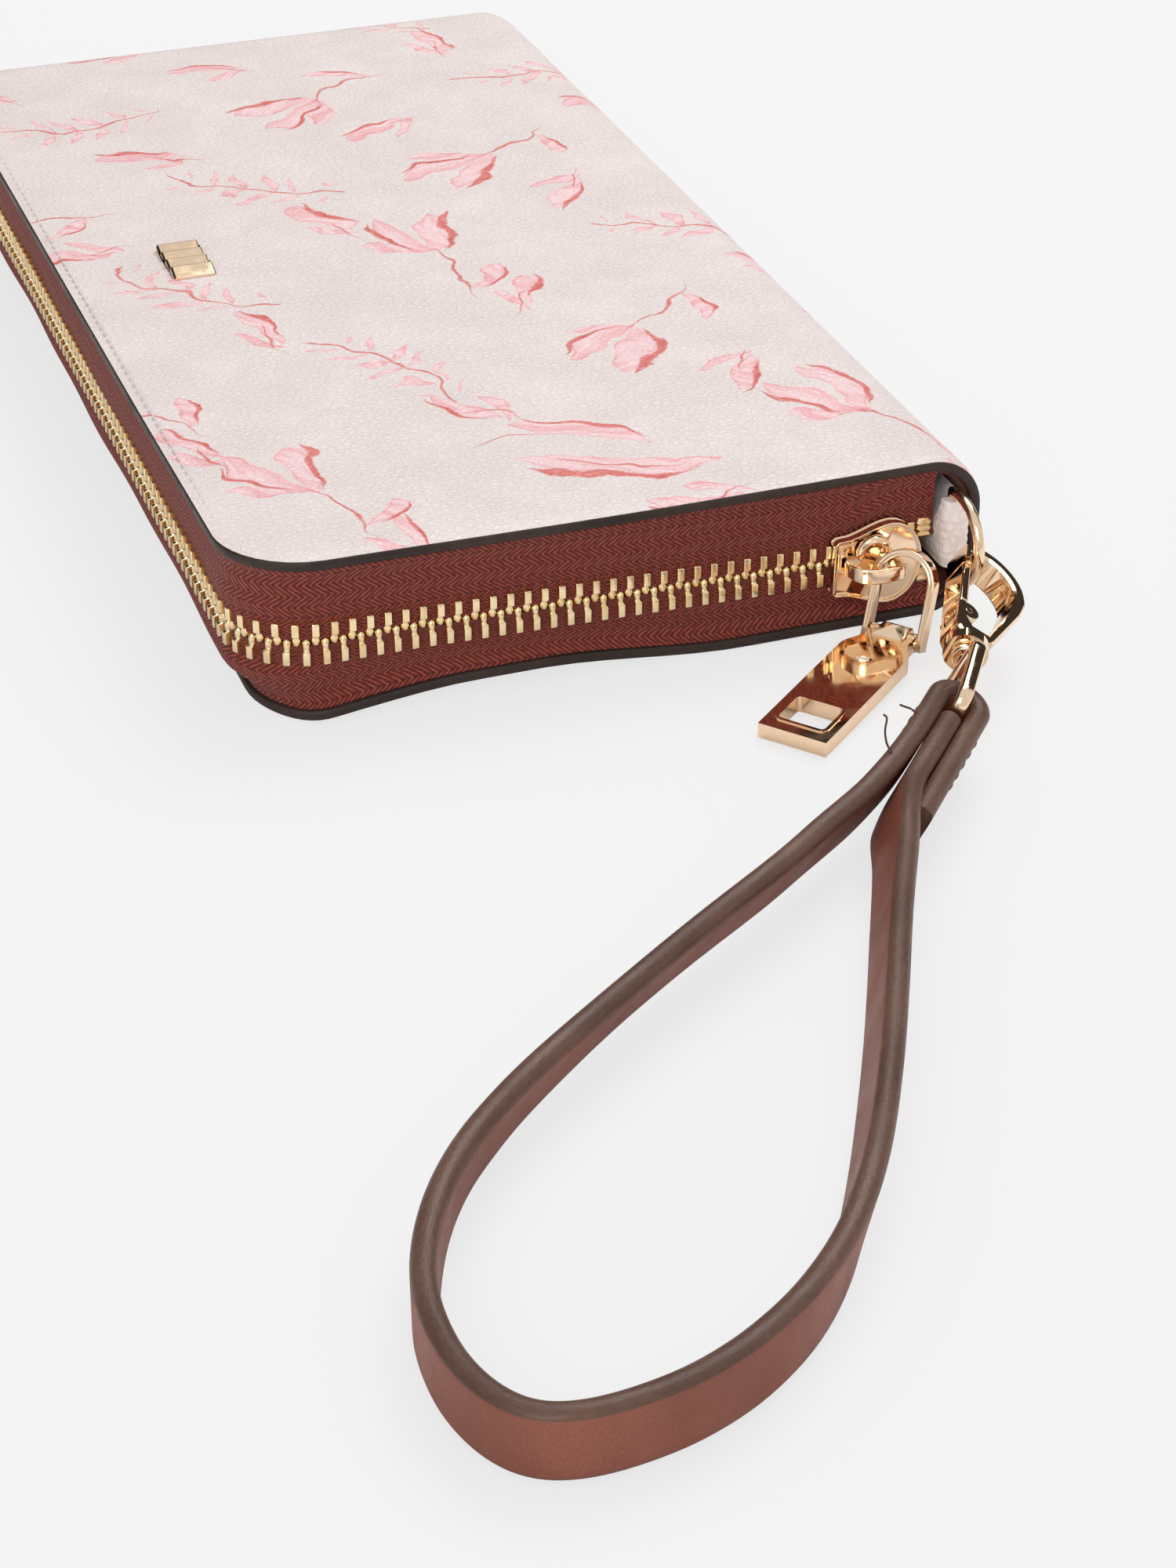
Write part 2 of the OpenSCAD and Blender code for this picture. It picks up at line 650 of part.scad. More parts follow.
// Leather folded round the ring's bar; its hidden tongue is clear of the half that opens.
module ring_tab() {
    ease = 1;
    sweep_r = spine_x - tape_end_x - 0.3;
    color(leather_colour) difference() {
        intersection() {
            translate([ring_x, ring_y, ring_z]) difference() {
                union() {
                    cylinder(r = tab_r, h = tab_h, center = true);
                    translate([-tab_r, 0, -tab_h / 2]) cube([2 * tab_r, 9, tab_h]);
                }
                cylinder(r = ring_wire / 2 + bar_gap, h = tab_h + 1, center = true, $fn = 32);
            }
            translate([ring_x, ring_y + 10, ring_z]) rotate([90, 0, 0]) linear_extrude(20)
                polygon([[-tab_r, -tab_h / 2], [tab_r - ease, -tab_h / 2],
                         [tab_r, -tab_h / 2 + ease], [tab_r, tab_h / 2 - ease],
                         [tab_r - ease, tab_h / 2], [-tab_r, tab_h / 2]]);
        }
        translate([spine_x, -end_y + run, mid_z]) rotate([-90, 0, 0]) difference() {
            translate([-10, -10, 0]) cube([10, 9, 12]);
            cylinder(r = sweep_r, h = 30, center = true, $fn = 96);
        }
    }
    // where the tongue is sewn to the spine of the back half
    color(leather_colour) box_between([ring_x + tab_r - eps, ring_y + 2, mid_z - 3.4],
                                      [spine_x - cover_t, ring_y + 9, mid_z - 0.6]);
}

module d_ring() {
    color(gold) translate([ring_x, ring_y, ring_z]) {
        cylinder(d = ring_wire, h = 2 * ring_r, center = true, $fn = 32);
        translate([0, -ring_leg, 0]) rotate([0, 90, 180]) rotate_extrude(angle = 180, $fn = 64)
            translate([ring_r, 0]) circle(d = ring_wire, $fn = 32);
        for (side = [-1, 1]) translate([0, 0, side * ring_r]) {
            sphere(d = ring_wire, $fn = 32);
            rotate([90, 0, 0]) cylinder(d = ring_wire, h = ring_leg + eps, $fn = 32);
        }
    }
}

// ---------------------------------------------------------------- clasp

clasp_yaw = -28;
clasp_pitch = 4.5;
clasp_roll = 33;
// The clasp pulls on the bow below the bow's middle, this many degrees round.
hang = 28;
contact = [ring_x, ring_y - ring_leg - ring_r * cos(hang), ring_z - ring_r * sin(hang)];

module chain_frame() {     // +Y along the clasp towards the ring
    translate(contact) rotate([0, 0, clasp_yaw]) rotate([clasp_pitch, 0, 0]) children();
}
module clasp_frame() { chain_frame() rotate([0, clasp_roll, 0]) children(); }

hook_x = 0.3;
hook_y = -3.7;
gate_x0 = -3.4;
gate_w = 1.3;
gate_top = -2.9;
gate_pivot = [gate_x0 + 1.5, -clasp_l + 6.4];
gate_lug_r = 1.5;
hole_bottom = -clasp_l + 3.6;
collar_h = 1.4;
collar_r = 3.0;
swivel_head_r = 1.4;
swivel_x = -0.5;

module clasp_outline() {
    intersection() {
        translate([hook_x, hook_y]) circle(r = hook_r, $fn = 96);
        translate([gate_x0, -20]) square([20, 40]);
    }
    polygon([[gate_x0, hook_y], [hook_x + hook_r, hook_y], [hook_x + hook_r - 0.1, hook_y - 1.6],
             [hook_x + hook_r - 0.7, hook_y - 4], [swivel_x + 3, -clasp_l + 2.6],
             [swivel_x + 2.2, -clasp_l + collar_h], [gate_x0 + 0.6, -clasp_l + collar_h],
             [gate_x0, -clasp_l + 2.4]]);
}
module clasp_hole() {
    r = hook_r - clasp_wall;
    inner_x = gate_x0 + gate_w;
    intersection() {
        translate([hook_x, hook_y]) circle(r = r, $fn = 96);
        translate([inner_x, -20]) square([20, 40]);
    }
    polygon([[inner_x, hook_y], [hook_x + r, hook_y], [hook_x + r - 0.5, hook_y - 3.4],
             [1.6, hole_bottom], [-1.0, hole_bottom],
             [inner_x, hole_bottom + 1.6]]);
}
module ring_seat() {
    translate([ring_x, ring_y - ring_leg, ring_z]) rotate([0, 90, 0])
        rotate_extrude($fn = 96) translate([ring_r, 0])
        circle(r = ring_wire / 2 + run, $fn = 32);
}
module clasp_body() {
    color(gold) difference() {
        clasp_casting();
        ring_seat();
    }
}
module clasp_casting() {
    gate_slot = 2.4 + 2 * 0.15;
    clasp_frame() difference() {
        union() {
            translate([0, 0, -clasp_t / 2]) linear_extrude(clasp_t) difference() {
                clasp_outline();
                clasp_hole();
                // mouth that the gate closes
                translate([gate_x0 - 1, gate_pivot[1] + 1.6])
                    square([gate_w + 1 + 0.2, gate_top + 0.15 - gate_pivot[1] - 1.6]);
            }
            translate([gate_pivot[0], gate_pivot[1], 0])
                cylinder(r = gate_lug_r, h = clasp_t, center = true, $fn = 48);
            translate([swivel_x, -clasp_l + collar_h + eps, 0]) rotate([90, 0, 0])
                cylinder(r = collar_r, h = collar_h + eps, $fn = 48);
        }
        // fork for the gate's knuckle, and its pin hole
        translate([gate_x0 - 1, gate_pivot[1] - 1.75, -gate_slot / 2])
            cube([4.2, 3.6, gate_slot]);
        translate([gate_pivot[0], gate_pivot[1], 0])
            cylinder(r = 0.6, h = clasp_t + 1, center = true, $fn = 24);
        // bore for the swivel post, and room for its head
        translate([swivel_x, hole_bottom + 0.5, 0]) rotate([90, 0, 0])
            cylinder(r = 1.1, h = 6, $fn = 32);
        translate([swivel_x, hole_bottom + 1.2, 0]) rotate([90, 0, 0])
            cylinder(r = swivel_head_r + run, h = 1.2, $fn = 32);
    }
}
module clasp_gate() {
    color(gold) clasp_frame() difference() {
        union() {
            translate([gate_x0, gate_pivot[1] + 1.75, -clasp_t / 2])
                cube([gate_w, gate_top - gate_pivot[1] - 1.75, clasp_t]);
            translate([gate_pivot[0], gate_pivot[1], 0]) {
                cylinder(r = 1.5, h = 2.4, center = true, $fn = 32);
                translate([-1.5, 0, -1.2]) cube([gate_w, 1.8, 2.4]);
            }
        }
        translate([gate_pivot[0], gate_pivot[1], 0])
            cylinder(r = 0.65, h = 3, center = true, $fn = 24);
        // seat of the spring
        translate([gate_pivot[0], gate_pivot[1], 0])
            cylinder(r = 1.15, h = 1.2, center = true, $fn = 24);
    }
}
module gate_pin() {
    color(gold) clasp_frame() translate([gate_pivot[0], gate_pivot[1], 0])
        cylinder(r = 0.6, h = clasp_t, center = true, $fn = 24);
}
module gate_spring() {
    wire = 0.36;
    color("silver") clasp_frame() translate([gate_pivot[0], gate_pivot[1], 0])
        for (i = [-1 : 1]) translate([0, 0, i * wire])
            rotate_extrude($fn = 32) translate([0.66 + wire / 2, 0]) circle(d = wire + eps, $fn = 16);
}

// Swivel eye: a riveted post and a long flat ring that leans less than the clasp.
eye_half = strap_w / 2 + 0.3 + eye_wire / 2;   // half height, at the middle of the bars
eye_roll = 24;
eye_turn = -7;                                 // the ring is set a little askew on its post
eye_dip = 3;
eye_pivot = -clasp_l - 0.5;
eye_rear = -4;                                 // middle of the rear bar, from the pivot
eye_front = eye_rear - eye_l;
eye_corner = 1.7;
post_r = 1.0;
module eye_frame() {
    clasp_frame() translate([swivel_x, 0, 0]) children();
}
module ring_frame() {
    chain_frame()
        translate([swivel_x * cos(clasp_roll), eye_pivot, -swivel_x * sin(clasp_roll)])
        rotate([0, 0, eye_turn]) rotate([eye_dip, 0, 0]) rotate([0, eye_roll, 0]) children();
}
// A rounded window in the YZ plane, as far as out from the middle of the bars.
module eye_window(out) {
    r = eye_corner + out;
    half = eye_half - eye_corner;
    for (y = [eye_rear - eye_corner, eye_front + eye_corner], z = [-half, half])
        translate([-z, y]) circle(r = r, $fn = 48);
    translate([-half - r, eye_front + eye_corner])
        square([2 * (half + r), eye_l - 2 * eye_corner]);
    translate([-half, eye_front + eye_corner - r]) square([2 * half, eye_l - 2 * eye_corner + 2 * r]);
}
module swivel_eye() {
    top = hole_bottom + 0.5;
    color(gold) {
        ring_frame() rotate([0, 90, 0]) linear_extrude(eye_wire, center = true) difference() {
            eye_window(eye_wire / 2);
            eye_window(-eye_wire / 2);
        }
        eye_frame() {
            translate([0, top, 0]) rotate([90, 0, 0])
                cylinder(r = post_r, h = top - eye_pivot - eye_rear, $fn = 32);
            translate([0, hole_bottom + 0.9, 0]) rotate([90, 0, 0])
                cylinder(r = swivel_head_r, h = 0.8, $fn = 32);
            translate([0, -clasp_l - 0.15, 0]) rotate([90, 0, 0])
                cylinder(r = 1.8, h = 1.2, $fn = 32);
        }
    }
}

// ---------------------------------------------------------------- strap

function turn_x(p, a) = [p[0], p[1] * cos(a) - p[2] * sin(a), p[1] * sin(a) + p[2] * cos(a)];
function turn_z(p, a) = [p[0] * cos(a) - p[1] * sin(a), p[0] * sin(a) + p[1] * cos(a), p[2]];
// The middle of the eye's front bar, in the wallet's frame.
eye_post = [swivel_x * cos(clasp_roll), eye_pivot, -swivel_x * sin(clasp_roll)];
eye_bar = contact + turn_z(turn_x(eye_post + turn_z(turn_x([0, eye_front, 0], eye_dip), eye_turn),
                                  clasp_pitch), clasp_yaw);
bar_play = 1.5;       // the bar lies this far from the middle of the strap's fold

layer_step = strap_t + layer_gap;
fold_r = layer_step;
sewn_angle = 48;      // the sewn end runs off at this angle below the -X direction
sewn_lean = eye_roll;
strap_reach = 140;    // from the eye to the far end of the loop
strap_lift = eye_bar[2] - strap_w / 2;
strap_tilt = asin(strap_lift / strap_reach);

// Route of the strap from the eye, in its own frame: X along the sewn end, away from the
// eye, and Y across it.  Layer A lies at +Y, the cut end B in the middle, layer C at -Y.
// Each place is the middle of the strap's upper edge, with the angle that the strap leans
// over by: its lower edge moves towards +Y.
function sewn(x, y) = [x, y * cos(sewn_lean) - strap_w / 2 * sin(sewn_lean),
                       y * sin(sewn_lean) + strap_w / 2 * cos(sewn_lean), sewn_lean];
function free(x, y, lean) = [x, y, strap_w / 2, lean];
loop_out = [[24.5, 2.7, 26], [42.5, 7.1, 27], [58, 11.4, 28], [73, 15.2, 27],
            [87, 18.6, 21], [96, 20.2, 16], [104, 20.9, 11], [112, 20.4, 5]];
loop_end = [[120, 18.5], [127, 15.2], [133, 10.3], [136.8, 5.1], [138.3, 0.1],
            [137.2, -4.4], [133.5, -9.1], [127.5, -13.9], [120, -17.5]];
loop_back = [[111, -19.9, 3], [101, -20.7, 9], [89, -19.6, 16], [75, -16.6, 18],
             [61, -12.9, 18], [46, -8.7, 19], [32, -5.2, 24], [24.5, -3.2, 29]];

function spline(p0, p1, p2, p3, t) =
    0.5 * ((2 * p1) + (p2 - p0) * t + (2 * p0 - 5 * p1 + 4 * p2 - p3) * t * t
           + (3 * p1 - p0 - 3 * p2 + p3) * t * t * t);
route = concat(
    [sewn(sewn_l + 2, -layer_step), sewn(sewn_l * 0.5, -layer_step), sewn(2, -layer_step)],
    [for (a = [-90 : 15 : 90]) sewn(-fold_r * cos(a), fold_r * sin(a))],
    [sewn(2, layer_step), sewn(sewn_l * 0.5, layer_step), sewn(sewn_l - 4, layer_step)],
    [for (p = loop_out) free(p[0], p[1], p[2])],
    [for (p = loop_end) free(p[0], p[1], 0)],
    [for (p = loop_back) free(p[0], p[1], p[2])],
    [sewn(sewn_l - 4, 0), sewn(sewn_l * 0.5, 0), sewn(3.4, 0)]);
function at(i) = route[max(0, min(len(route) - 1, i))];
smooth = [for (i = [0 : len(route) - 2]) for (t = [0, 0.5])
          spline(at(i - 1), at(i), at(i + 1), at(i + 2), t)];
path = concat(smooth, [route[len(route) - 1]]);
function place(i) = let (p = path[i]) [p[0], p[1], p[2]];
function unit(v) = v / norm(v);
// Four corners of the strap at one place: upper edge, then lower edge.
function section(i) =
    let (along = unit(place(min(len(path) - 1, i + 1)) - place(max(0, i - 1))),
         lean = path[i][3], up = [0, -sin(lean), cos(lean)],
         u = unit(up - (up * along) * along),
         across = cross(u, along) * strap_t / 2, down = -u * strap_w, top = place(i))
    [top - across, top + across, top + down + across, top + down - across];
module strap_frame() {
    translate(eye_bar) rotate([0, 0, 180 + sewn_angle]) rotate([0, strap_tilt, 0])
        translate([-bar_play, 0, 0]) mirror([0, 1, 0]) children();
}
module wrist_strap() {
    n = len(path);
    color(strap_colour) strap_frame() polyhedron(
        points = [for (i = [0 : n - 1]) each section(i)],
        faces = concat([[0, 2, 1], [0, 3, 2]],
            [for (i = [0 : n - 2], k = [0 : 3]) let (a = 4 * i + k, b = 4 * i + (k + 1) % 4)
                each [[a, b + 4, a + 4], [a, b, b + 4]]],
            [[4 * n - 4, 4 * n - 3, 4 * n - 2], [4 * n - 4, 4 * n - 2, 4 * n - 1]]));
}
// Thread that shows on the two outer faces of the sewn end.
module strap_stitches() {
    stitch = [1.8, 0.25, 0.5];
    color(print_edge) strap_frame() rotate([sewn_lean, 0, 0])
        for (side = [-1, 1], x = [4 : 2.6 : sewn_l - 5.5], z = [-1, 1])
            translate([x, side * (layer_step + strap_t / 2) + (side < 0 ? -stitch[1] : 0),
                       z * (strap_w / 2 - 1.5) - stitch[2] / 2]) cube(stitch);
}

// ---------------------------------------------------------------- badge

badge_x = edge_x + badge_inset;
badge_y = 3;
module badge_plate() {
    color(gold) translate([badge_x, badge_y, wallet_t]) {
        translate([-badge_w / 2, -badge_l / 2, 0]) cube([badge_w, badge_l, badge_t * 0.6]);
        translate([-badge_w / 2 + 0.5, -badge_l / 2 + 0.5, 0])
            cube([badge_w - 1, badge_l - 1, badge_t]);
    }
}
prong_t = 0.5;
prong_w = 2;
prong_y = badge_l / 2 - 2.5;
module prong_places() {
    for (side = [-1, 1]) translate([badge_x, badge_y + side * prong_y, wallet_t]) children();
}
// Two prongs that pass through the leather and the board.
module badge_prongs() {
    color(gold) prong_places() translate([-prong_w / 2, -prong_t / 2, -leather_t - board_t])
        cube([prong_w, prong_t, leather_t + board_t]);
}
module prong_cuts() {
    prong_places() translate([-prong_w / 2 - fit, -prong_t / 2 - fit, -leather_t - board_t - 1])
        cube([prong_w + 2 * fit, prong_t + 2 * fit, leather_t + board_t + 2]);
}

back_leather();
back_board();
back_lining();
back_edge_paint();
front_leather();
front_board();
front_lining();
front_edge_paint();
back_note_panel();
front_note_panel();
back_card_pockets_near();
back_card_pockets_far();
front_card_pockets_near();
front_card_pockets_far();
lower_zip_tape();
upper_zip_tape();
lower_zip_teeth();
upper_zip_teeth();
lower_zip_stops();
upper_zip_stops();
near_gusset();
far_gusset();
coin_wall_back();
coin_wall_front();
coin_pocket_binding();
coin_zip_tapes();
coin_zip_teeth();
coin_zip_slider();
coin_zip_puller();
zip_slider_body();
zip_slider_bridge();
zip_bail();
zip_puller();
ring_tab();
d_ring();
clasp_body();
clasp_gate();
gate_pin();
gate_spring();
swivel_eye();
wrist_strap();
strap_stitches();
badge_plate();
badge_prongs();
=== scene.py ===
# %% [markdown]
# # A wristlet wallet, dressed around its CAD frame
# The real object is a long zip-around wallet: two stiff covers in printed, coated leather,
# painted edges, a metal zipper on herringbone tape, and a leather wrist strap on a ring and
# swivel clasp.  The CAD frame already holds every true size and every joint.  This script
# only makes what the eye needs: soft edges, thread, grain, print and polish.

# %% Load the frame
import math
import random
from functools import partialmethod

import bmesh
import bpy
from mathutils import Euler, Matrix, Vector


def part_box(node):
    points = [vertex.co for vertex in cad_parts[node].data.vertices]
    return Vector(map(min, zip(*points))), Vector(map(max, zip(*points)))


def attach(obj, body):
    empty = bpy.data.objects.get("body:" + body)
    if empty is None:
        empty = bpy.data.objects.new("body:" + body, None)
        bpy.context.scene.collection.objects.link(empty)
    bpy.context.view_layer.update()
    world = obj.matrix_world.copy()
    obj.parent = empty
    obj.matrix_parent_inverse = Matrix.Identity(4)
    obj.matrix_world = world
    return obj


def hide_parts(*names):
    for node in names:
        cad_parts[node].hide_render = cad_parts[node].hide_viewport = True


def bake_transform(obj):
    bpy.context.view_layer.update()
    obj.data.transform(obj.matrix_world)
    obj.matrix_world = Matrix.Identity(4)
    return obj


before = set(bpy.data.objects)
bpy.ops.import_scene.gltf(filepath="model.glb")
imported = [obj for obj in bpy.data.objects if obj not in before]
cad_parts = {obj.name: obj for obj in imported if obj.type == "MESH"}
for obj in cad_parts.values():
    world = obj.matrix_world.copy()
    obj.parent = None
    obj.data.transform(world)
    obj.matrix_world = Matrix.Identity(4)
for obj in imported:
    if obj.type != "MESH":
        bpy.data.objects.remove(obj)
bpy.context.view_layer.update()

# %% [markdown]
# ## Sizes that drive the pieces
# A maker thinks in millimetres, and Blender here works in metres.  So every shape below is
# written in millimetres and one helper divides by a thousand when it makes the mesh.  The
# main sizes are read back from the frame, so that the looks follow the CAD.

# %% Sizes in millimetres
def node_box(node):
    """Lowest and highest corner of a node of the frame."""
    low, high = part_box(node)
    return Vector(low) * 1000, Vector(high) * 1000

paint_low, paint_high = node_box("back_edge_paint")
spine_x, end_y, edge_x = paint_high.x, paint_high.y, paint_low.x
wallet_t = node_box("front_edge_paint")[1].z
mid_z = wallet_t / 2
corner_r = 12.0
spine_r = 8.0
bend_reach = 6  # how far the fold reaches above and below the hinge
uv_scale = 100  # millimetres of leather in one unit of a UV map
paint_w = end_y - node_box("back_leather")[1].y
leather_t = node_box("back_board")[0].z
lining_low = node_box("back_lining")[0].z
cover_t = node_box("lower_zip_tape")[0].z
spine_turn = spine_x - spine_r
fold_start = (spine_x / 1000, 0, (mid_z - bend_reach) / 1000)
fold_end = (spine_x / 1000, 0, (mid_z + bend_reach) / 1000)
print("cover", round(end_y * 2, 1), "x", round(spine_x - edge_x, 1), "x", round(wallet_t, 1))

# %% [markdown]
# ## Small helpers for meshes
# Almost every piece is a stack of rings, all with the same number of points, joined by
# quads.  A strap, a wire, a bead of paint and a leather skin are all made this way, which
# keeps the topology clean enough for bevels and subdivision.

# %% Mesh helpers
def add_to_scene(name, data):
    """A new object for a mesh, lamp or camera, linked to the scene."""
    thing = bpy.data.objects.new(name, data)
    bpy.context.scene.collection.objects.link(thing)
    return thing

def make_object(name, points, faces, materials, face_materials=None, sharp=35):
    """A mesh object from points in millimetres, with smooth shading up to an angle."""
    mesh = bpy.data.meshes.new(name)
    mesh.from_pydata([Vector(p) / 1000 for p in points], [], faces)
    for material in materials:
        mesh.materials.append(material)
    if face_materials:
        mesh.polygons.foreach_set("material_index", face_materials)
    work = bmesh.new()
    work.from_mesh(mesh)
    bmesh.ops.recalc_face_normals(work, faces=work.faces)
    work.to_mesh(mesh)
    work.free()
    mesh.shade_smooth()
    mesh.set_sharp_from_angle(angle=math.radians(sharp))
    return add_to_scene(name, mesh)

# %% Rings to surfaces
def join_rings(rings, closed_path=False, closed_ring=True, caps=True):
    """Quads between neighbouring rings, with flat caps on an open path."""
    size = len(rings[0])
    points = [p for ring in rings for p in ring]
    last = len(rings) if closed_path else len(rings) - 1
    around = size if closed_ring else size - 1
    faces = []
    for i in range(last):
        a, b = i * size, (i + 1) % len(rings) * size
        for k in range(around):
            n = (k + 1) % size
            faces.append((a + k, a + n, b + n, b + k))
    if caps and closed_ring and not closed_path:
        faces.append(tuple(range(size)))
        faces.append(tuple(reversed(range(last * size, (last + 1) * size))))
    return points, faces

def add_part(points, faces, part):
    """Adds the points and faces of one part to the lists of a whole piece."""
    base = len(points)
    points += part[0]
    faces += [tuple(base + k for k in face) for face in part[1]]

def unroll(piece, width, flat_place):
    """A UV map from the row and column of each point in a stack of rings."""
    flat = piece.data.uv_layers.new(name="UVMap")
    for loop in piece.data.loops:
        flat.data[loop.index].uv = flat_place(*divmod(loop.vertex_index, width))

print("a ring of 4 makes", len(join_rings([[(0, 0, 0)] * 4] * 2)[1]), "faces with its caps")

# %% Edges and normals
def apply_modifiers(piece):
    """Writes the modifiers' result into the mesh, as fabric that bends needs."""
    graph = bpy.context.evaluated_depsgraph_get()
    result = bpy.data.meshes.new_from_object(piece.evaluated_get(graph))
    piece.modifiers.clear()
    piece.data = result

def soften(piece, width, segments=2, angle=30):
    """Rounds the edges of a hard piece, as tumbling or casting does."""
    bevel = piece.modifiers.new("soft edges", "BEVEL")
    bevel.width = width / 1000
    bevel.segments = segments
    bevel.limit_method = "ANGLE"
    bevel.angle_limit = math.radians(angle)
    return piece

def keep_flats(piece):
    """Weights the normals by face area, so that flat faces shade flat."""
    piece.modifiers.new("flat faces stay flat", "WEIGHTED_NORMAL").weight = 80
    apply_modifiers(piece)
    return piece

def circle(radius, sides):
    """Points of a circle, from its right side round to the left."""
    return [(radius * math.cos(2 * math.pi * k / sides), radius * math.sin(2 * math.pi * k / sides))
            for k in range(sides)]

print("points in a circle of 8:", len(circle(1.0, 8)))

# %% Riding and bending
def place(piece, body, slot, *nodes):
    """Rides a piece on its body and hides the solids it stands for."""
    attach(piece, body)
    if nodes:
        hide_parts(*nodes)
    return piece

def bend(piece, slot, *nodes, start=fold_start, end=fold_end):
    """A piece that crosses the spine: its transform is baked and the solids it stands for are
    hidden.
    """
    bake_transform(piece)
    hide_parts(*nodes)
    return piece

def smooth_step(t):
    """0 before 0 and 1 after 1, with a soft turn between them."""
    t = max(0.0, min(1.0, t))
    return t * t * (3 - 2 * t)

print("half way up a soft step:", smooth_step(0.5))

# %% [markdown]
# ## Node maths that reads as maths
# A procedural finish is a chain of small sums over the surface.  Wiring those by hand is
# slow to read, so a little class wraps each socket: adding or multiplying two of them adds a
# Math node and returns its output.

# %% A socket that can be added and multiplied
class Flow:
    def __init__(self, socket):
        self.socket = socket
        self.tree = socket.id_data

    def operate(self, operation, *others):
        """A Math node on this socket and other sockets or numbers."""
        node = self.tree.nodes.new("ShaderNodeMath")
        node.operation = operation
        self.tree.links.new(self.socket, node.inputs[0])
        for i, other in enumerate(others, 1):
            if isinstance(other, Flow):
                self.tree.links.new(other.socket, node.inputs[i])
            else:
                node.inputs[i].default_value = other
        return Flow(node.outputs[0])

    def __rsub__(self, other):
        return (self * -1) + other

    __add__ = __radd__ = partialmethod(operate, "ADD")
    __mul__ = __rmul__ = partialmethod(operate, "MULTIPLY")
    __sub__ = partialmethod(operate, "SUBTRACT")
    __truediv__ = partialmethod(operate, "DIVIDE")
    __pow__ = partialmethod(operate, "POWER")
    __abs__ = partialmethod(operate, "ABSOLUTE")
    sin = partialmethod(operate, "SINE")
    cos = partialmethod(operate, "COSINE")
    floor = partialmethod(operate, "FLOOR")
    fract = partialmethod(operate, "FRACT")
    low = partialmethod(operate, "MINIMUM")
    high = partialmethod(operate, "MAXIMUM")
    above = partialmethod(operate, "GREATER_THAN")

    def ramp(self, start, end):
        """0 before start and 1 after end, with a soft turn between them."""
        node = self.tree.nodes.new("ShaderNodeMapRange")
        node.interpolation_type = "SMOOTHSTEP"
        node.inputs["From Min"].default_value = start
        node.inputs["From Max"].default_value = end
        self.tree.links.new(self.socket, node.inputs["Value"])
        return Flow(node.outputs["Result"])

print("sums that a socket knows:", sum(isinstance(v, partialmethod) for v in vars(Flow).values()))

# %% Node helpers
def add_node(tree, kind, links=None, **values):
    """One node, its plain values, and the sockets that feed it."""
    node = tree.nodes.new("ShaderNode" + kind)
    for name, value in values.items():
        if name in node.inputs:
            node.inputs[name].default_value = value
        else:
            setattr(node, name, value)
    for name, source in (links or {}).items():
        tree.links.new(source.socket if isinstance(source, Flow) else source, node.inputs[name])
    return node

def combine(tree, x, y, z=None):
    """A vector socket from two or three flows."""
    node = add_node(tree, "CombineXYZ", {"X": x, "Y": y})
    if z is not None:
        tree.links.new(z.socket, node.inputs["Z"])
    return node.outputs[0]

def separate(tree, vector):
    """The three parts of a vector or colour socket as flows."""
    node = add_node(tree, "SeparateXYZ", {"Vector": vector})
    return [Flow(socket) for socket in node.outputs]

def noise(tree, place_socket, **values):
    """A noise texture: its grey value as a flow, and its colour socket."""
    node = add_node(tree, "TexNoise", {"Vector": place_socket}, **values)
    return Flow(node.outputs["Fac"]), node.outputs["Color"]

print("node helpers ready")

# %% Group helpers
FLOAT, VECTOR = "NodeSocketFloat", "NodeSocketVector"

def new_group(name, **values):
    """A node group that takes a Place and plain numbers, and the numbers as flows."""
    group = bpy.data.node_groups.new(name, "ShaderNodeTree")
    group.interface.new_socket(name="Place", in_out="INPUT", socket_type=VECTOR)
    for label, value in values.items():
        kind = VECTOR if value is None else FLOAT
        socket = group.interface.new_socket(name=label.replace("_", " "), in_out="INPUT",
                                            socket_type=kind)
        if value is not None:
            socket.default_value = value
    place_socket, *others = group.nodes.new("NodeGroupInput").outputs[:-1]
    return group, place_socket, *[Flow(socket) for socket in others]

def end_group(group, **results):
    """Gives a group its outputs."""
    end = group.nodes.new("NodeGroupOutput")
    for label, value in results.items():
        group.interface.new_socket(name=label, in_out="OUTPUT", socket_type=FLOAT)
        group.links.new(value.socket, end.inputs[label])
    return group

def use_group(tree, group, place_socket, **values):
    """Places a group in a tree with its own plain values."""
    node = tree.nodes.new("ShaderNodeGroup")
    node.node_tree = group
    tree.links.new(place_socket, node.inputs["Place"])
    for label, value in values.items():
        node.inputs[label.replace("_", " ")].default_value = value
    return node

def colour(red, green, blue):
    """A colour picked as seen on a screen, turned to the linear values that light needs."""
    def linear(c):
        c = c / 255
        return c / 12.92 if c <= 0.04045 else ((c + 0.055) / 1.055) ** 2.4
    return (linear(red), linear(green), linear(blue), 1)

print("middle grey as light:", round(colour(128, 128, 128)[0], 3))
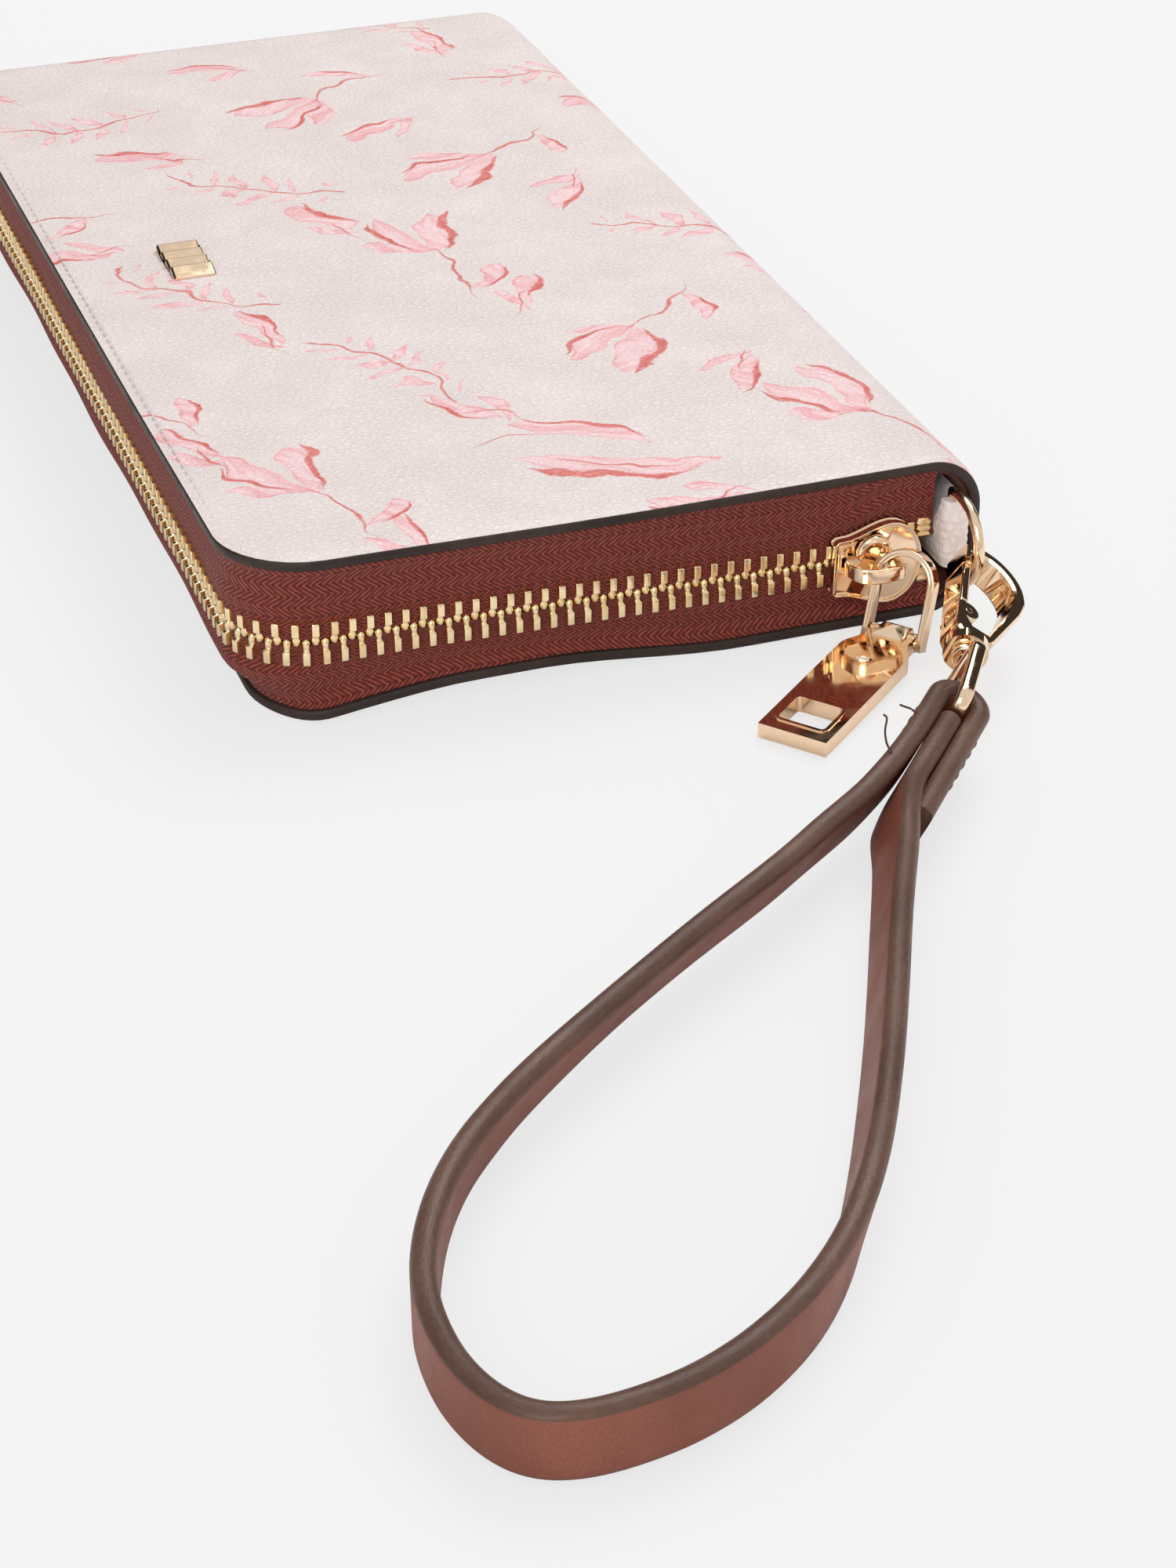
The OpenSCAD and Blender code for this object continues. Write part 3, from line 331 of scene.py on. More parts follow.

# %% [markdown]
# ## Leather grain
# Coated split leather is pressed with a fine cell pattern.  A Voronoi texture gives the cells,
# and the distance to a cell's edge gives the crease between two grains, where the finishes
# paint shade.  A finer noise is mixed in, because a pressed grain is never even.

# %% Leather grain group
def make_leather_grain():
    group, spot, size, stretch = new_group("leather grain", Grain_Size=1.0, Stretch=1.0)
    x, y, z = separate(group, spot)
    in_cells = combine(group, x / size, y / (size * stretch), z / size)
    _, wobble = noise(group, in_cells, Scale=1.3, Detail=2.0)
    shifted = add_node(group, "VectorMath", {0: in_cells, 1: wobble}, operation="ADD")
    cells = add_node(group, "TexVoronoi", {"Vector": shifted.outputs[0]},
                     feature="DISTANCE_TO_EDGE", Scale=1.0)
    grain = Flow(cells.outputs["Distance"]).ramp(0.0, 0.28)
    fine, _ = noise(group, in_cells, Scale=4.5, Detail=3.0)
    broad, _ = noise(group, spot, Scale=0.07, Detail=3.0)
    # The crease output marks where the finishes paint shade between the grains.
    return end_group(group, Height=grain * 0.8 + fine * 0.35, Crease=1 - grain, Mottle=broad)

leather_grain = make_leather_grain()
print(leather_grain.name, "nodes:", len(leather_grain.nodes))

# %% [markdown]
# ## Woven tape and cloth
# Zipper tape is woven in a herringbone: short slanted floats whose direction turns over in
# every second column.  Plain cloth is the same idea with no slant.  One group makes both,
# from a place measured in millimetres along and across the tape.

# %% Weave group
def make_weave():
    group, spot, rib, column, slant = new_group("weave", Rib=0.55, Column=2.2, Slant=1.0)
    x, y, _ = separate(group, spot)
    from_middle = abs((y / column).fract() - 0.5)
    across = (x + from_middle * column * 2 * slant) / rib
    ribs = (across * (2 * math.pi)).sin() * 0.5 + 0.5
    floats = abs(((y / (rib * 1.7) + across.floor() * 0.5) * math.pi).sin()) ** 0.9
    seam = from_middle.ramp(0.42, 0.5).high(1 - from_middle.ramp(0.0, 0.08))
    fibre, _ = noise(group, spot, Scale=3.2, Detail=5.0, Roughness=0.7)
    height = ribs * 0.15 + floats * ribs * 0.65 + fibre * 0.5 - seam * 0.1
    return end_group(group, Height=height, Fibre=fibre)

weave = make_weave()
print(weave.name, "nodes:", len(weave.nodes))

# %% [markdown]
# ## Handling marks
# Polished plating is bright but never perfect: it has faint smears and hairline scratches,
# and coated leather has duller spots where fingers rest.  One group turns a place into a
# roughness between two limits, with a few fine scratches as a second output.

# %% Handling group
def make_handling():
    group, spot, smooth, rough, size = new_group("handling", Smooth=0.1, Rough=0.3,
                                                 Smear_Size=4.0)
    x, y, z = separate(group, spot)
    smears, _ = noise(group, combine(group, x / size, y / size, z / size),
                      Scale=1.0, Detail=4.0, Roughness=0.6)
    lines, _ = noise(group, combine(group, x * 0.35, y * 6.0, z * 6.0),
                     Scale=1.0, Detail=2.0, Distortion=0.6)
    scratches = lines.ramp(0.72, 0.8)
    roughness = smooth + (rough - smooth) * smears.ramp(0.35, 0.7) + scratches * 0.06
    return end_group(group, Roughness=roughness, Scratches=scratches)

handling = make_handling()
print(handling.name, "nodes:", len(handling.nodes))

# %% [markdown]
# ## The flower print
# The covers carry a loose watercolour print.  It is drawn here by the shader, in a design
# of its own, mostly out of one thing: a brush stroke, which is a lens that swells towards one
# end and bows to one side.  Broad strokes make the pale washes of leaves and buds, and thin
# strokes along their rims make the darker lines.  Only the sprig has a formula of its own.

# %% Brush stroke group
def make_brush_stroke():
    group, spot, centre, angle, reach, width, bow = new_group(
        "brush stroke", Centre=None, Turn=0.0, Reach=5.0, Width=1.0, Bow=0.0)
    turned = add_node(group, "VectorRotate", {"Vector": spot, "Center": centre,
                                              "Angle": angle * -1}, rotation_type="Z_AXIS")
    local = add_node(group, "VectorMath", {0: turned.outputs[0], 1: centre},
                     operation="SUBTRACT")
    x, y, _ = separate(group, local.outputs[0])
    s = x / reach
    body = (1 - s * s).high(0.0)
    swell = (body ** 0.8) * (1 + s * 0.4)
    past_end = (abs(s) - 1).high(0.0) * reach
    return end_group(group, Shape=swell * width - past_end - abs(y - body * bow))

brush_stroke = make_brush_stroke()
print(brush_stroke.name, "nodes:", len(brush_stroke.nodes))

# %% [markdown]
# ## Laying out the print
# The leather is split into staggered cells.  Each cell turns, mirrors and picks its own
# motif by chance, so nothing repeats in rows.  A slow noise bends every stroke a little and a
# fine noise roughens its rim, as wet paper does.

# %% Motifs as lists of strokes
motif_scale, cell_w, cell_h = 1.25, 40.0, 36.0
# each stroke: place of its middle, turn in degrees, reach, width, bow
bud_wash = [((6.0, 2.4), 26, 6.6, 2.0, 0.8), ((6.8, -0.9), -6, 6.8, 1.8, -0.6),
            ((4.4, -3.4), -42, 4.8, 1.4, -0.8), ((-8.2, 1.2), 64, 4.2, 1.3, 0.7)]
bud_rims = [((-6.0, -2.6), 14, 8.6, 0.32, 1.4), ((5.6, 3.6), 30, 6.4, 0.62, 1.2),
            ((6.6, -2.2), -10, 6.4, 0.5, -1.0), ((-8.9, 1.4), 66, 3.8, 0.42, 1.0)]
leaf_wash = [((-2.0, 2.6), 10, 11.0, 2.7, 1.2), ((2.4, -3.8), -14, 8.6, 1.9, -1.0)]
leaf_rims = [((-1.4, 4.6), 12, 10.0, 0.66, 1.6), ((-2.4, 2.2), 10, 8.4, 0.34, 1.3),
             ((2.4, -5.0), -16, 8.2, 0.52, -1.2), ((8.8, -1.6), 24, 5.6, 0.26, -1.4)]
small_wash = [((1.0, 0.4), 18, 5.4, 1.5, 0.6), ((-1.2, -2.4), -12, 4.2, 1.0, -0.4)]
small_rims = [((1.2, 1.5), 20, 5.2, 0.46, 0.8), ((-3.2, -1.4), 34, 4.6, 0.24, -0.6)]

def draw_strokes(group, spot, strokes):
    """The highest of several brush strokes, each above 0 inside its outline."""
    whole = None
    for centre, degrees, reach, width, bow in strokes:
        node = use_group(group, brush_stroke, spot, Centre=(*centre, 0), Reach=reach,
                         Turn=math.radians(degrees), Width=width, Bow=bow)
        shape = Flow(node.outputs["Shape"])
        whole = whole.high(shape) if whole else shape
    return whole

def pick_cell(group, x, y, seed, play):
    """Local place in a staggered cell, turned by chance, and one more chance number."""
    row = (y / cell_h + seed).floor()
    u = x / cell_w + row * 0.5 + seed * 0.37
    chance = add_node(group, "TexWhiteNoise", {"Vector": combine(group, u.floor(), row)},
                      noise_dimensions="3D")
    a, b, c = separate(group, chance.outputs["Color"])
    dx = (u.fract() - 0.5) * (cell_w / motif_scale)
    dy = ((y / cell_h + seed).fract() - 0.5) * (cell_h / motif_scale)
    flip = b.above(0.5) * 2 - 1
    angle = (a - 0.5) * play + 0.35
    px = dx * angle.cos() + dy * angle.sin()
    py = (dy * angle.cos() - dx * angle.sin()) * flip
    return combine(group, px, py), px, py, c

def draw_sprig(px, py, spacing=3.7, reach=12.0):
    """Leaflets along both sides of a bowed stem: their wash and the stem's line."""
    stem = abs(py - px * px * 0.02 + 1.6)
    along = (px / spacing).fract() - 0.5
    taper = (1 - (px / 12.5) * (px / 12.5)).high(0.0)
    outward = stem - 2.3
    leaflets = taper * 1.15 - abs(along * spacing - outward * 0.7) - abs(outward) * 0.42
    end = (reach - abs(px)) * 0.5
    return leaflets.low(end), (0.3 - stem).low(end)

print("strokes in a bud:", len(bud_wash) + len(bud_rims))

# %% Print group
def make_print():
    group, spot = new_group("flower print")
    _, slow = noise(group, spot, Scale=0.13, Detail=1.0)
    fine_grey, fine = noise(group, spot, Scale=0.9, Detail=3.0, Roughness=0.6)
    x, y, _ = separate(group, spot)
    slow_x, slow_y, _ = separate(group, slow)
    fine_x, fine_y, _ = separate(group, fine)
    x = x + (slow_x - 0.5) * 7.0 + (fine_x - 0.5) * 0.7
    y = y + (slow_y - 0.5) * 7.0 + (fine_y - 0.5) * 0.7

    cell, px, py, pick = pick_cell(group, x, y, 0.13, 2.4)
    small_cell, _, _, _ = pick_cell(group, x, y, 0.63, 2.8)
    is_leaf = pick.above(0.66)
    is_sprig = pick.above(0.4) * (1 - is_leaf)
    is_bud = 1 - is_leaf - is_sprig
    sprig_wash, sprig_line = draw_sprig(px, py)
    wash = (is_leaf * draw_strokes(group, cell, leaf_wash) + is_sprig * sprig_wash
            + is_bud * draw_strokes(group, cell, bud_wash))
    wash = wash.high(draw_strokes(group, small_cell, small_wash))
    line = (is_leaf * draw_strokes(group, cell, leaf_rims) + is_sprig * sprig_line
            + is_bud * draw_strokes(group, cell, bud_rims))
    line = line.high(draw_strokes(group, small_cell, small_rims))

    streaks, _ = noise(group, combine(group, px * 0.1, py * 0.8), Scale=1.0, Detail=3.0)
    dry = fine_grey.ramp(0.3, 0.5)
    inside = wash.ramp(-0.05, 0.2)
    rim = inside * (1 - wash.ramp(0.12, 0.55)) * 0.55
    pool = (streaks.ramp(0.38, 0.66) * 0.7 + rim).low(1.0)
    drawn = line.ramp(-0.02, 0.22) * (dry * 0.35 + 0.65)
    return end_group(group, Wash=inside, Line=drawn, Pool=pool)

flower_print = make_print()
print(flower_print.name, "nodes:", len(flower_print.nodes))

# %% [markdown]
# ## From groups to finishes
# Each finish is one material: a Principled shader whose constant values sit on its own
# sockets, and whose colour, roughness and bump come from the groups.  Rigid pieces read
# their place from object coordinates.  Pieces that cross the spine read a UV map that is
# measured in the flat leather, so that grain and print follow the leather round the spine.

# %% Finish helper
def start_finish(name, use_uv=False, **shader_values):
    """A material with a Principled shader, and the surface place in millimetres."""
    material = bpy.data.materials.new(name)
    material.use_nodes = True
    tree = material.node_tree
    tree.nodes.clear()
    shader = add_node(tree, "BsdfPrincipled")
    for label, value in shader_values.items():
        shader.inputs[label.replace("_", " ")].default_value = value
    output = add_node(tree, "OutputMaterial", {"Surface": shader.outputs[0]})
    output.target = "ALL"
    coordinates = add_node(tree, "TexCoord")
    source = coordinates.outputs["UV" if use_uv else "Object"]
    scaled = add_node(tree, "VectorMath", {0: source}, operation="SCALE")
    scaled.inputs["Scale"].default_value = uv_scale if use_uv else 1000
    return material, tree, scaled.outputs[0]

def mix(tree, amount, first, second):
    """A colour between two colours or colour sockets."""
    node = add_node(tree, "Mix", data_type="RGBA")
    for index, item in ((0, amount), (6, first), (7, second)):
        if isinstance(item, Flow):
            tree.links.new(item.socket, node.inputs[index])
        elif isinstance(item, bpy.types.NodeSocket):
            tree.links.new(item, node.inputs[index])
        else:
            node.inputs[index].default_value = item
    return node.outputs[2]

def end_finish(material, tone, roughness, height, depth):
    """Feeds the shader with a colour, a roughness and a height of depth millimetres."""
    tree = material.node_tree
    shader = next(node for node in tree.nodes if node.type == "BSDF_PRINCIPLED")
    bump = add_node(tree, "Bump", {"Height": height}, Distance=depth / 1000, Strength=1.0)
    tree.links.new(bump.outputs[0], shader.inputs["Normal"])
    tree.links.new(tone, shader.inputs["Base Color"])
    if roughness:
        tree.links.new(roughness, shader.inputs["Roughness"])
    return material

print("finish helpers ready")

# %% Printed cover leather
def make_cover_leather():
    """Pale leather with the print in two tones: pale washes and darker lines."""
    material, tree, flat = start_finish("printed_leather", use_uv=True, IOR=1.46,
                                        Coat_Roughness=0.35)
    grain = use_group(tree, leather_grain, flat, Grain_Size=1.15, Stretch=0.75)
    marks = use_group(tree, handling, flat, Smooth=0.42, Rough=0.56, Smear_Size=9.0)
    art = use_group(tree, flower_print, flat)
    base = mix(tree, Flow(grain.outputs["Mottle"]).ramp(0.3, 0.7),
               colour(228, 217, 214), colour(223, 211, 208))
    wash = mix(tree, Flow(art.outputs["Pool"]), colour(242, 208, 211), colour(232, 152, 157))
    line = mix(tree, Flow(art.outputs["Pool"]), colour(220, 112, 102), colour(202, 80, 72))
    washed = mix(tree, Flow(art.outputs["Wash"]) * 0.9, base, wash)
    drawn = mix(tree, Flow(art.outputs["Line"]) * 0.92, washed, line)
    # Painted shade: the creases between grains are darkened towards grey-brown.
    crease_shaded = mix(tree, Flow(grain.outputs["Crease"]) * 0.14, drawn, colour(182, 164, 160))
    return end_finish(material, crease_shaded, marks.outputs["Roughness"], grain.outputs["Height"], 0.1)

cover_leather = make_cover_leather()
print("nodes in the cover leather:", len(cover_leather.node_tree.nodes))

# %% Plain leathers
def make_plain_leather(name, light, dark, use_uv=False, size=0.8, smooth=0.4, rough=0.55,
                       depth=0.05):
    """Leather or paint between a light and a dark tone, with a grain of a given size."""
    material, tree, spot = start_finish(name, use_uv=use_uv, IOR=1.46, Specular_IOR_Level=0.3)
    grain = use_group(tree, leather_grain, spot, Grain_Size=size)
    marks = use_group(tree, handling, spot, Smooth=smooth, Rough=rough, Smear_Size=6.0)
    tone = mix(tree, Flow(grain.outputs["Mottle"]).ramp(0.3, 0.7), colour(*light), colour(*dark))
    # Painted shade: a deeper copy of the dark tone darkens the creases between grains.
    deep = tuple(int(c * 0.7) for c in dark)
    crease_shaded = mix(tree, Flow(grain.outputs["Crease"]) * 0.18, tone, colour(*deep))
    return end_finish(material, crease_shaded, marks.outputs["Roughness"], grain.outputs["Height"], depth)

# The board's dark grey-brown is partly its own tone and partly painted shade for the dark gap inside
# the covers' edges.
board = make_plain_leather("board", (104, 92, 84), (86, 76, 69), size=0.4)
print("made", board.name)

# %% Woven finishes
def make_cloth(name, light, dark, rib, column, slant, depth=0.09, use_uv=True):
    """Cloth or thread, with painted light on its raised yarns and painted shade between them."""
    material, tree, spot = start_finish(name, use_uv=use_uv, Roughness=0.72, Sheen_Weight=0.08,
                                        Sheen_Roughness=0.4, Specular_IOR_Level=0.25)
    cloth = use_group(tree, weave, spot, Rib=rib, Column=column, Slant=slant)
    height = Flow(cloth.outputs["Height"])
    # Painted light and shade: raised yarns take the light tone and the gaps between them the dark
    # tone.
    tone = mix(tree, height.ramp(0.15, 0.95), colour(*dark), colour(*light))
    fibred = mix(tree, Flow(cloth.outputs["Fibre"]).ramp(0.3, 0.8) * 0.25, tone, colour(*light))
    return end_finish(material, fibred, None, height.socket, depth)

tape_cloth = make_cloth("zip_tape", (166, 77, 64), (72, 25, 19), 0.85, 2.6, 0.8, 0.28)
print("made", tape_cloth.name)

# %% Plated metals
def make_metal(name, face, deep, smooth, rough, depth=0.001):
    """Plated metal, a little deeper in tone where it is rougher."""
    material, tree, spot = start_finish(name, Metallic=1.0)
    marks = use_group(tree, handling, spot, Smooth=smooth, Rough=rough, Smear_Size=2.5)
    tone = mix(tree, Flow(marks.outputs["Roughness"]).ramp(smooth, rough + 0.08),
               colour(*face), colour(*deep))
    return end_finish(material, tone, marks.outputs["Roughness"], marks.outputs["Scratches"], depth)

brass = make_metal("brass", (252, 230, 186), (236, 206, 152), 0.14, 0.28)
gold = make_metal("gold", (250, 222, 190), (244, 208, 170), 0.04, 0.12)
steel = make_metal("steel", (206, 206, 208), (170, 170, 174), 0.18, 0.36)
print("made", brass.name, gold.name, steel.name)

# %% The other leathers and threads
plain_leather = make_plain_leather("tab_leather", (252, 244, 241), (246, 232, 228), size=1.6,
                                   depth=0.07)
pocket_leather = make_plain_leather("pocket_leather", (218, 204, 198), (212, 196, 190))
edge_paint = make_plain_leather("edge_paint", (62, 50, 45), (48, 39, 35), size=2.4, smooth=0.38,
                                rough=0.52, depth=0.02)
strap_face = make_plain_leather("strap_face", (144, 86, 69), (128, 74, 59), use_uv=True,
                                size=0.5, smooth=0.42, rough=0.55, depth=0.02)
strap_edge = make_plain_leather("strap_edge", (108, 80, 68), (88, 64, 54), use_uv=True,
                                size=1.6, smooth=0.34, rough=0.46, depth=0.015)
# The lining's dark burgundy is painted shade for the dark gap inside the covers' edges.
shade_dark_lining = make_cloth("shade_dark_lining", (112, 62, 54), (66, 32, 27), 0.45, 0.9, 0.0, 0.05)
thread = make_cloth("thread", (232, 222, 219), (205, 190, 186), 0.3, 0.6, 1.0, 0.03, False)
strap_thread = make_cloth("strap_thread", (96, 74, 66), (58, 42, 37), 0.3, 0.6, 1.0, 0.03, False)
print("finishes:", len(bpy.data.materials))

# %% [markdown]
# ## The camera
# A product view from above one short end: a long lens, so that the covers keep almost
# parallel edges.  The camera stands half a metre away and looks down by about 32 degrees.

# %% Camera
camera_data = bpy.data.cameras.new("camera")
camera_data.sensor_fit = "VERTICAL"
camera_data.sensor_height = 36
camera_data.lens = 76.99
camera_data.clip_start = 0.01
camera = add_to_scene("camera", camera_data)
camera.location = Vector((-138.38, -463.66, 226.04)) / 1000
camera.rotation_euler = Euler([math.radians(a) for a in (58.1, 0, -20)])
bpy.context.scene.camera = camera
print("camera lens (mm):", camera_data.lens)

# %% [markdown]
# ## The leather skin
# On the real wallet one sheet of leather wraps the back cover, the spine and the front
# cover.  The frame has it cut in two at the hinge, so that it can turn.  Here it is one
# sheet again: rows run from the zipper edge of one cover, round the spine, to the zipper
# edge of the other.  Its UV map is the flat leather in tenths of a metre.

# %% Outline of a cover
straight_end = edge_x + corner_r

def reach_at(x, inset):
    """How far along Y a cover reaches at a place across it."""
    radius = corner_r - inset
    if x >= straight_end:
        return end_y - inset
    across = min(radius, straight_end - x)
    return end_y - corner_r + math.sqrt(radius * radius - across * across)

def edge_distance(x, y):
    """Distance in from the cover's edge on its three free sides."""
    dx, dy = straight_end - x, abs(y) - (end_y - corner_r)
    if dx > 0 and dy > 0:
        return corner_r - math.hypot(dx, dy)
    return min(corner_r - dx, corner_r - dy)

def profile_rows(depth, inset):
    """Places round the C of covers and spine: (x, z, outward, flat length, plan x)."""
    rows = []
    radius = corner_r - inset
    turn = [straight_end - radius * math.cos(math.radians(a)) for a in
            (0, 4, 10, 18, 27, 36, 46, 56, 67, 78, 90)]
    flat = [straight_end + (spine_turn - straight_end) * k / 18 for k in range(1, 18)]
    bend_radius = spine_r - depth
    arc = math.pi / 2 * bend_radius
    for x in turn + flat:
        rows.append((x, depth, (0, -1), x))
    for k in range(13):
        a = math.radians(k * 7.5)
        rows.append((spine_turn + bend_radius * math.sin(a), spine_r - bend_radius * math.cos(a),
                     (math.sin(a), -math.cos(a)), spine_turn + arc * k / 12))
    for k in range(1, 7):
        z = spine_r + (mid_z - spine_r) * k / 6
        rows.append((spine_x - depth, z, (1, 0), spine_turn + arc + z - spine_r))
    middle = rows[-1][3]
    for x, z, (ox, oz), run in reversed(rows[:-1]):
        rows.append((x, wallet_t - z, (ox, -oz), 2 * middle - run))
    return rows

print("reach at the corner's middle (mm):", round(reach_at(edge_x + 4, 0), 1))

# %% How the covers settle
near_lift, far_lift, side_tuck, top_lift = 2.4, 1.1, 3.4, 0.7

def settle(point):
    """Moves a point with its cover: soft covers never lie dead flat once they are sewn."""
    x, y, z = point
    if z < mid_z:
        reach = smooth_step((x - edge_x - 2) / 30) * (1 - smooth_step((x + 12) / 30))
        beside_end = 1 - smooth_step((end_y - abs(y)) / 13)
        lift = (near_lift if y < 0 else far_lift) * reach * beside_end
        tuck = side_tuck * (1 - smooth_step((x - edge_x) / 16))
        return Vector((x + tuck, y, z + lift))
    corner = (1 - smooth_step((x - edge_x) / 60)) * (1 - smooth_step((end_y + y) / 60))
    return Vector((x, y, z + top_lift * corner))

print("near end of the lower cover settles at", [round(v, 1) for v in settle((-20, -end_y, 0))])

# %% One sheet round both covers
def make_sheet(name, material, depth, inset, thickness, roll, roll_width):
    """A sheet at a depth below the outer surface, rolled down a little at its free edges."""
    rings, runs = [], []
    gaps = [0, 0.2, 0.5, 0.9, 1.4, 2.2, 4, 6, 9, 13]
    for x, z, (ox, oz), run in profile_rows(depth, inset):
        reach = reach_at(x, inset)
        inner = reach - gaps[-1]
        places = [reach - g for g in gaps] + [inner * (1 - k / 24) for k in range(1, 25)]
        places += [-p for p in reversed(places[:-1])]
        ring = []
        for y in places:
            gap = max(0.0, edge_distance(min(x, spine_turn), y) - inset)
            drop = roll * (1 - smooth_step(gap / roll_width))
            ring.append(settle((x - ox * drop, y, z - oz * drop)))
        rings.append(ring)
        runs.append((run, places))
    points, faces = join_rings(rings, closed_ring=False, caps=False)
    sheet = make_object(name, points, faces, [material], sharp=60)
    unroll(sheet, len(rings[0]), lambda row, column: (runs[row][0] / uv_scale + 2,
                                                      runs[row][1][column] / uv_scale + 2))
    solid = sheet.modifiers.new("thickness", "SOLIDIFY")
    solid.thickness = thickness / 1000
    solid.offset = -1
    apply_modifiers(sheet)
    return sheet

skin = make_sheet("cover_skin", cover_leather, 0.0, 0.12, leather_t - 0.1, 0.32, 1.8)
bend(skin, "cover_leather", "back_leather", "front_leather")
print("skin faces:", len(skin.data.polygons))

# %% [markdown]
# ## Lining and boards
# The lining is the same sheet again, deeper in, in woven cloth, and between the two lies
# the stiffener, a thin pressed board that follows the covers and the spine.

# %% Lining and board
lining = make_sheet("cover_lining", shade_dark_lining, lining_low, paint_w, cover_t - lining_low,
                    0.0, 1.0)
bend(lining, "lining", "back_lining", "front_lining")

stiffener = make_sheet("cover_board", board, leather_t, end_y - node_box("back_board")[1].y,
                       lining_low - leather_t, 0.0, 1.0)
bend(stiffener, "board", "back_board", "front_board")
print("lining at", round(lining_low, 2), "mm and board at", round(leather_t, 2), "mm below the skin")

# %% [markdown]
# ## Painted edges
# The cut edges of the covers are sealed with several coats of paint, which dries as a
# rounded bead that stands a little proud.  The bead's section is a soft D.  It is swept
# round the front cover, down the spine, round the back cover and up again, in one closed
# loop that turns round the spine.

# %% Path of the bead
paint_t, lip = 1.7, 0.32

def cover_edge_path():
    """Half of the loop: (place, outward, thickness direction) from spine to spine."""
    half = []
    middle = cover_t / 2
    bend_radius = spine_r - middle
    flat_z = wallet_t - middle
    near = Vector((0, -1, 0))
    for k in range(5):
        half.append((Vector((spine_x - middle, -end_y, mid_z + (mid_z - spine_r) * k / 5)),
                     near, Vector((1, 0, 0))))
    for k in range(13):
        a = math.radians(k * 7.5)
        half.append((Vector((spine_turn + bend_radius * math.cos(a), -end_y,
                             wallet_t - spine_r + bend_radius * math.sin(a))),
                     near, Vector((math.cos(a), 0, math.sin(a)))))
    up = Vector((0, 0, 1))
    for k in range(1, 20):
        half.append((Vector((spine_turn + (straight_end - spine_turn) * k / 20, -end_y, flat_z)),
                     near, up))
    for k in range(0, 13):
        a = math.radians(k * 7.5)
        out = Vector((-math.sin(a), -math.cos(a), 0))
        centre = Vector((straight_end, -end_y + corner_r, flat_z))
        half.append((centre + out * corner_r, out, up))
    for k in range(1, 26):
        half.append((Vector((edge_x, (corner_r - end_y) * (1 - k / 25), flat_z)),
                     Vector((-1, 0, 0)), up))
    flip = Vector((1, -1, 1))
    return half + [(p * flip, o * flip, n * flip) for p, o, n in reversed(half[:-1])]

upper_half = cover_edge_path()
print("places along half of the bead:", len(upper_half))

# %% Edge paint bead
def paint_section():
    """A soft D: (outward, across) in millimetres, thickest beside the leather."""
    high, low = cover_t / 2 - lip, cover_t / 2 - paint_t
    middle, half = (high + low) / 2, (high - low) / 2
    bulge = [(0.3 * math.cos(math.radians(a)) - 0.12, middle + half * math.sin(math.radians(a)))
             for a in range(-80, 81, 16)]
    return [(-paint_w - 0.3, low)] + bulge + [(-paint_w, high)]

lower_half = [(Vector((p.x, p.y, wallet_t - p.z)), o, Vector((n.x, n.y, -n.z)))
              for p, o, n in reversed(upper_half[1:-1])]
wave = random.Random(4)
rings = []
for p, out, across in upper_half + lower_half:
    swell = 1 + wave.uniform(-0.04, 0.04)
    rings.append([settle(p + out * (o * swell if o > 0 else o) + across * a)
                  for o, a in paint_section()])
points, faces = join_rings(rings, closed_path=True)
bead = make_object("edge_paint_bead", points, faces, [edge_paint], sharp=50)
bend(bead, "edge_paint", "back_edge_paint", "front_edge_paint")
print("bead length (mm):", round(sum((upper_half[i][0] - upper_half[i + 1][0]).length
                                     for i in range(len(upper_half) - 1)) * 2))

# %% [markdown]
# ## Zipper tape
# Each tape is a woven strip that stands between a cover and the chain and follows the
# wallet's edge round both corners.  Cloth this narrow is best lofted directly: a ring of
# points every 1.6 mm of chain, slightly bellied and uneven, as sewn tape is.

# %% The line of the chain
tape_inset, tape_t, tape_rise = 1.5, 0.6, 0.35
tape_end_x, slider_x = 45.7, 36.7
slope = math.tan(math.radians(1.6))
slope_start = slider_x - 66
spread_start, spread_end, row_spread = slider_x - 4.4, slider_x + 3.1, 1.9
chain_r = corner_r - tape_inset
front_run = tape_end_x - straight_end
corner_run = chain_r * math.pi / 2
side_run = 2 * (end_y - corner_r)
chain_run = 2 * front_run + 2 * corner_run + side_run

def spread_at(x):
    """How far each row stands off the chain's middle, where the slider parts them."""
    return row_spread * smooth_step((x - spread_start) / (spread_end - spread_start))

def drop_at(x):
    """How far the chain has sunk at the near end, where it slopes down."""
    return max(0.0, x - slope_start) * slope

def on_chain(s):
    """Place on the chain, the direction out of the wallet, and how far a row is lifted."""
    if s < front_run:
        x = tape_end_x - s
        return Vector((x, -end_y + tape_inset, 0)), Vector((0, -1, 0)), spread_at(x), drop_at(x)
    if s < front_run + corner_run:
        a = (s - front_run) / chain_r
        out = Vector((-math.sin(a), -math.cos(a), 0))
        centre = Vector((straight_end, -end_y + corner_r, 0))
        return centre + out * chain_r, out, 0, 0
    s -= front_run + corner_run
    if s < side_run:
        return Vector((edge_x + tape_inset, corner_r - end_y + s, 0)), Vector((-1, 0, 0)), 0, 0
    s -= side_run
    if s < corner_run:
        a = s / chain_r
        out = Vector((-math.cos(a), math.sin(a), 0))
        return Vector((straight_end, end_y - corner_r, 0)) + out * chain_r, out, 0, 0
    x = straight_end + s - corner_run
    return Vector((x, end_y - tape_inset, 0)), Vector((0, 1, 0)), 0, 0

def row_height(lift, drop, height, upper):
    """Height of a point of a row, measured away from the chain's middle."""
    if upper:
        return mid_z + height + lift - drop
    return mid_z - height - lift - drop

print("chain goes round", round(chain_run), "mm and drops", round(drop_at(tape_end_x), 1), "mm")

